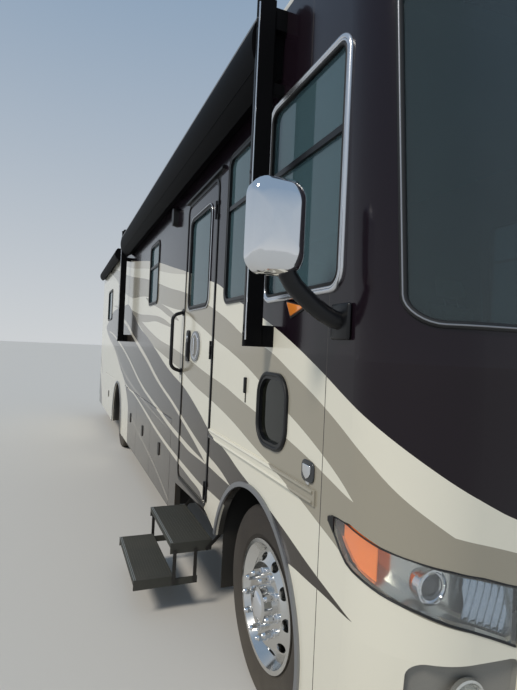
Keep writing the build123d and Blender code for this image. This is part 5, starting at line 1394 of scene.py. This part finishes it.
def makeTailLamps():
    half, places = tail["half"], []
    for side, _ in sides:
        places.append((rearSkin(side * tail["y"]) + 0.001, side * tail["y"]))
    for name, finish, slot, low, high in tail["lenses"]:
        made = []
        for x, y in places:
            outline = roundedLoop(y - half + 0.009, y + half - 0.009, low, high, 0.014, 4)
            made.append(plate([(x + 0.004, a, b) for a, b in outline], (-0.012, 0, 0), 0.005, 3))
            for across in tail["ribs"]:
                ends = [(x - 0.0075, y + across, z) for z in (low + 0.012, high - 0.012)]
                made.append(bead(ends, 0.0022, sides=2))
        settle(join(made), name, finish, angle=40)
    bezels = []
    half, low, high = half + 0.004, tail["low"] - 0.004, tail["high"] + 0.004
    for x, y in places:
        loop = roundedLoop(y - half, y + half, low, high, 0.034, 5)
        bezels.append(bead([(x, a, b) for a, b in loop], 0.009, True, 4))
    settle(join(bezels), "tailBezels", "rimMetalAndHighlight", angle=50)


def rearBlock(place, proud, deep, bevel, segments=3):
    y, wide, low, high = place
    x = rearSkin(y)
    return block((x - proud, y - wide, low), (x + deep, y + wide, high), bevel, segments)


def makeRearFittings():
    half, low, high = tail["plate"]
    rear = coach["rear"]
    outline = roundedLoop(-half, half, low, high, 0.018, 4)
    blank = plate([(rear + 0.001, a, b) for a, b in outline], (-0.003, 0, 0), 0.001)
    settle(blank, "blankPlate", "plateWhite")
    loop = roundedLoop(-half - 0.006, half + 0.006, low - 0.006, high + 0.006, 0.022, 4)
    made = [bead([(rear - 0.001, a, b) for a, b in loop], 0.007, True)]
    made += [endKnob(rear - 0.002, y, high - 0.018, tail["screw"], 12) for y in tail["screwYs"]]
    made.append(rearBlock((0.0, 0.05, high + 0.012, high + 0.042), 0.035, 0.005, 0.01))
    made.append(rearBlock(tail["pod"], 0.05, 0.01, 0.016, 4))
    made.append(endKnob(rear - 0.05, 0.0, 3.155, tail["eye"], 24))
    made += [rearBlock(place, 0.012, 0.012, 0.008) for place in tail["strips"]]
    settle(join(made), "rearFittings", "satinBlack", angle=40)
    reflectors = [rearBlock(place, 0.007, 0.01, 0.005) for place in tail["reflectors"]]
    settle(join(reflectors), "rearReflectors", "redLens")


# roof: louvres and a seam on the air units, domed lids on the vents
roof = {
    "units": (1.9, -3.2),
    "halfLength": 0.511,
    "halfWidth": 0.341,
    "slotLow": 3.56,
    "slotHigh": 3.69,
    "slots": 11,
    "slotApart": 0.042,
    "seam": (0.523, 0.353, 0.112),  # half length, half width, corner
    "seamZ": 3.50,
    "vents": [(3.3, 0.0), (0.3, 0.3), (-1.6, -0.35)],
    "lid": (0.178, 3.546, 3.588),  # half width, low, high
    "rim": (0.196, 0.196, 0.04),
    "rimZ": 3.549,
}


def makeRoofDetail():
    dark, pale = [], []
    low, high = roof["slotLow"], roof["slotHigh"]
    for x in roof["units"]:
        for end in (-1, 1):
            face = x + end * roof["halfLength"]
            for count in range(roof["slots"]):
                y = (count - (roof["slots"] - 1) / 2) * roof["slotApart"]
                dark.append(block((face - 0.008, y - 0.011, low), (face + 0.006, y + 0.011, high), 0.005, 2))
            z = low + 0.04 * (end + 1)
            for side in (-1, 1):
                y = side * roof["halfWidth"]
                dark.append(block((x - 0.30, y - 0.008, z), (x + 0.30, y + 0.006, z + 0.028), 0.005, 2))
        loop = roundedAbout(x, 0, *roof["seam"])
        pale.append(bead([(a, b, roof["seamZ"]) for a, b in loop], 0.012, True))
    half, low, high = roof["lid"]
    for x, y in roof["vents"]:
        pale.append(block((x - half, y - half, low), (x + half, y + half, high), 0.03, 4))
        loop = roundedAbout(x, y, *roof["rim"], 4)
        pale.append(bead([(a, b, roof["rimZ"]) for a, b in loop], 0.006, True))
    settle(join(dark), "roofLouvres", "satinBlack")
    settle(join(pale), "roofLids", "roofSkin", angle=50)


# dashboard: instrument hood and glass, a screen and round vents
dash = {
    "cluster": (4.79, 0.62, 1.80),
    "hood": [(-0.23, -0.02), (0.23, -0.02), (0.19, 0.075), (0.0, 0.10), (-0.19, 0.075)],  # y and z from there
    "glass": [(-0.2, -0.011), (0.2, -0.011), (0.17, 0.061), (-0.17, 0.061)],
    "screen": (4.80, 0.02, 1.70),
    "ventX": 4.776,
    "ventYs": (-0.95, -0.35, 0.28, 1.0),
    "ventZ": 1.66,
    "vent": [(0.0005, 0.004), (0.030, 0.004), (0.034, 0.012), (0.042, 0.012), (0.046, -0.012)],
}


def makeDash():
    x, y, z = dash["cluster"]
    made = [plate([(x + 0.06, y + a, z + b) for a, b in dash["hood"]], (0.22, 0, -0.03), 0.02, 3)]
    made += [endKnob(dash["ventX"], across, dash["ventZ"], dash["vent"], 28) for across in dash["ventYs"]]
    settle(join(made), "dashHood", "dashVinyl", angle=40)
    faces = [plate([(x + 0.052, y + a, z + b) for a, b in dash["glass"]], (0.01, 0, 0), 0.003)]
    x, y, z = dash["screen"]
    faces.append(block((x - 0.05, y - 0.12, z - 0.07), (x + 0.02, y + 0.12, z + 0.07), 0.008, 3))
    settle(join(faces), "dashGlass", "darkLens")


# radiator core behind the grille's net
radiator = {
    "core": ((5.372, -0.64, 0.44), (5.384, 0.64, 0.75)),
    "tankZs": (0.75, 0.40),
    "bracketYs": (-0.4, 0.4),
    "fins": 41,
    "finReach": 0.62,
}


def makeRadiator():
    made = [block(*radiator["core"], 0.003)]
    made += [block((5.366, -0.66, z), (5.406, 0.66, z + 0.04), 0.012, 3) for z in radiator["tankZs"]]
    made += [block((5.294, y - 0.02, 0.745), (5.372, y + 0.02, 0.80), 0.004) for y in radiator["bracketYs"]]
    for count in range(radiator["fins"]):
        y = radiator["finReach"] * (2 * count / (radiator["fins"] - 1) - 1)
        made.append(block((5.382, y - 0.004, 0.442), (5.396, y + 0.004, 0.748), 0.0015, 1))
    settle(join(made), "radiatorCore", "linerBlack")


# cab chairs: padded leather on a moulded shell and a turned pedestal
chair = {
    "rows": [("Driver", 0.62), ("Passenger", -0.62)],
    "lean": -0.197,
    "pads": {  # middle (x, z), size along x, y and z, lean, voxel, how far it may swell
        "Cushion": ((3.995, 1.500), (0.490, 0.480, 0.090), 0.035, 0.011, 0.018),
        "Back": ((3.708, 1.815), (0.075, 0.440, 0.640), -0.197, 0.011, 0.018),
        "Head": ((3.617, 2.255), (0.060, 0.270, 0.150), -0.197, 0.008, 0.014),
    },
    "cloth": {"quality": 4, "mass": 0.3, "tension_stiffness": 18, "compression_stiffness": 18,
              "shear_stiffness": 8, "bending_stiffness": 0.6, "use_pressure": True,
              "uniform_pressure_force": 4.0},
    "frames": 20,
    "channels": {  # sewn lines: the axis they are counted along, then their places
        "Cushion": [(1, (-0.155, 0.155)), (0, (-0.12, -0.02, 0.08))],
        "Back": [(1, (-0.145, 0.145)), (2, (-0.19, -0.08, 0.03, 0.14, 0.23))],
    },
    "channelDepth": 0.007,
    "channelWidth": 0.006,
    "channelFade": 2.718,
    "armOut": 0.295,
    "shell": [(-0.235, -0.37), (0.235, -0.37), (0.245, 0.20), (0.20, 0.36), (-0.20, 0.36), (-0.245, 0.20)],
    "shellSpot": (3.708, 1.80),
    "tray": [(3.72, -0.245), (4.235, -0.245), (4.235, 0.245), (3.72, 0.245)],
    "trayZ": 1.412,
    "postOut": 0.272,
    "stems": [(3.645, 2.12), (3.612, 2.21)],  # x, z
    "stemOut": 0.07,
    "pedestalX": 3.95,
    "pedestal": [(0.0005, 1.412), (0.12, 1.412), (0.12, 1.39), (0.085, 1.375), (0.075, 1.30), (0.085, 1.22),
                 (0.13, 1.19), (0.148, 1.18), (0.148, 1.166), (0.0005, 1.166)],  # radius, height
}


def puffed(piece, voxel, most):
    # swell the closed form by cloth pressure, each point held within reach of its start
    applyModifier(piece, "REMESH", mode="VOXEL", voxel_size=voxel)
    before = [vertex.co.copy() for vertex in piece.data.vertices]
    modifier = piece.modifiers.new("Swell", "CLOTH")
    for key, value in chair["cloth"].items():
        setattr(modifier.settings, key, value)
    modifier.settings.effector_weights.gravity = 0
    modifier.collision_settings.use_collision = False
    modifier.point_cache.frame_start = 1
    modifier.point_cache.frame_end = chair["frames"]
    for frameNumber in range(1, chair["frames"] + 1):
        scene.frame_set(frameNumber)
    pick(piece)
    bpy.ops.object.modifier_apply(modifier="Swell")
    scene.frame_set(1)
    for vertex, start in zip(piece.data.vertices, before):
        move = vertex.co - start
        if move.length > most:
            vertex.co = start + move.normalized() * most


def sewn(piece, lines, axis):
    # press sewn channels into a pad: each line is a height along one axis
    for vertex in piece.data.vertices:
        for line in lines:
            away = (vertex.co[axis] - line) / chair["channelWidth"]
            if abs(away) < 4:
                vertex.co -= vertex.normal * (chair["channelDepth"] * chair["channelFade"] ** -(away ** 2))


def setDown(piece, lean, spot):
    piece.rotation_euler = (0, lean, 0)
    piece.location = spot
    applyPlace(piece)
    return piece


def chairPad(label, y):
    (x, z), size, lean, voxel, most = chair["pads"][label]
    piece = block([-a / 2 for a in size], [a / 2 for a in size], min(size) * 0.42, 4)
    puffed(piece, voxel, most)
    for axis, lines in chair["channels"].get(label, []):
        sewn(piece, lines, axis)
    applyModifier(piece, "SUBSURF", levels=1, render_levels=1)
    return setDown(piece, lean, (x, y, z))


def chairParts(y):
    # one chair: each part with its label, finish, slot, smoothing angle, replaced nodes and filling
    parts = []
    for label in chair["pads"]:
        parts.append((chairPad(label, y), label, "seatLeather", "seat_leather", 60, ("front_seats",), 0.8))
    arms, posts, stems = [], [], []
    for side in (-1, 1):
        across = y + side * chair["armOut"]
        arms.append(block((3.735, across - 0.026, 1.668), (4.12, across + 0.026, 1.716), 0.02, 4))
        across = y + side * chair["postOut"]
        posts.append(block((3.725, across - 0.014, 1.43), (3.775, across + 0.012, 1.68), 0.006))
        stems.append(bead([(x, y + side * chair["stemOut"], z) for x, z in chair["stems"]], 0.006))
    shell = plate([(-0.046, a, b) for a, b in chair["shell"]], (-0.022, 0, 0), 0.009, 3)
    shellX, shellZ = chair["shellSpot"]
    setDown(shell, chair["lean"], (shellX, y, shellZ))
    tray = plate([(x, y + a, chair["trayZ"]) for x, a in chair["tray"]], (0, 0, 0.034), 0.012, 3)
    middle = chair["pedestalX"]
    points = [(middle + out, y, up) for out, up in chair["pedestal"]]
    pedestal = turned(points, (middle, y, 0), (0, 0, 1), 40)
    parts.append((join(arms), "Arms", "seatLeather", "seat_leather", 50, (), 1.0))
    parts.append((join([shell, tray, pedestal] + posts), "Frame", "dashVinyl", "dash_vinyl", 40, (), None))
    parts.append((join(stems), "Stems", "brushedAlloy", "ladder_alloy", 35, (), None))
    return parts


def makeChairs():
    home = chair["rows"][0][1]
    parts = chairParts(home)
    for name, y in chair["rows"]:
        for piece, label, finish, slot, angle, replaces, fill in parts:
            own = piece if y == home else copyMoved(piece, (0, y - home, 0))
            settle(own, "chair" + label + name, finish, angle=angle, replaces=replaces)


makeTyres()
print("tyres made")
makeWheelTrim()
print("wheels trimmed")
makeWindscreenTrim()
makeHeadlamps()
makeFogLamps()
print("lamps and windscreen trim made")
makeMirrors()
print("mirrors made")
makeWindowTrim()
makeFittings()
makeDoorTrim()
print("window, wall and door trim made")
makeStepTreads()
makeAwningTrim()
print("steps and awning trimmed")
makeChairs()
print("chairs made")
makeLiners()
makeGrille()
makeRadiator()
makeTopLamps()
makeTailLamps()
makeRearFittings()
print("liners, grille and rear end made")
makeRoofDetail()
makeDash()
print("roof and dashboard made")


# floor, light and camera
studio = {
    "floorSize": 400,
    "floorColour": srgb(206, 203, 197),
    "horizonColour": srgb(236, 240, 243),
    "zenithColour": srgb(164, 188, 214),
    "climb": 1.7,  # how fast the sky reaches its upper colour
    "worldStrength": 0.72,
    "sunStrength": 1.9,
    "sunColour": (1.0, 0.93, 0.83),
    "sunSpread": 12,
    "sunWay": (-0.35, 0.75, -0.9),
    "camera": (6.6136, -2.2083, 1.7290),
    "forward": (-0.92610, 0.37724, 0.00574),
    "roll": 2.581,
    "lens": 25.54,
}


def makeStudio():
    clearSelection()
    bpy.ops.mesh.primitive_plane_add(size=studio["floorSize"], location=(0, 0, 0))
    ground = bpy.context.object
    ground.name = "studioFloor"
    material, tree, shader = startMaterial("studioFloor", Roughness=0.9)
    shader.inputs["Base Color"].default_value = studio["floorColour"]
    ground.data.materials.append(material)
    world = bpy.data.worlds.new("softStudio")
    scene.world = world
    world.use_nodes = True
    tree = world.node_tree
    background = tree.nodes["Background"]
    parts = addNode(tree, "ShaderNodeSeparateXYZ")
    feed(tree, parts.inputs[0], addNode(tree, "ShaderNodeTexCoord").outputs["Generated"])
    climb = sums(tree, "MULTIPLY", sums(tree, "MAXIMUM", parts.outputs[2], 0.0), studio["climb"])
    climb = sums(tree, "MINIMUM", climb, 1.0)
    sky = blendColour(tree, climb, studio["horizonColour"], studio["zenithColour"])
    feed(tree, background.inputs[0], sky)
    background.inputs[1].default_value = studio["worldStrength"]
    bpy.ops.object.light_add(type="SUN", location=(8, -12, 16))
    sun = bpy.context.object
    sun.name = "softSun"
    sun.data.energy = studio["sunStrength"]
    sun.data.color = studio["sunColour"]
    sun.data.angle = radians(studio["sunSpread"])
    sun.rotation_euler = Vector(studio["sunWay"]).to_track_quat("-Z", "Y").to_euler()
    forward = Vector(studio["forward"]).normalized()
    right = forward.cross(Vector((0, 0, 1))).normalized()
    up = right.cross(forward)
    roll = radians(studio["roll"])
    across = right * cos(roll) + up * sin(roll)
    over = up * cos(roll) - right * sin(roll)
    data = bpy.data.cameras.new("photoView")
    data.lens = studio["lens"]
    data.clip_start, data.clip_end = 0.02, 500
    camera = bpy.data.objects.new("photoView", data)
    scene.collection.objects.link(camera)
    turn = Matrix((across, over, -forward)).transposed()
    camera.matrix_world = Matrix.Translation(Vector(studio["camera"])) @ turn.to_4x4()
    scene.camera = camera
    scene.view_settings.view_transform = "Standard"


makeStudio()
print("studio made")
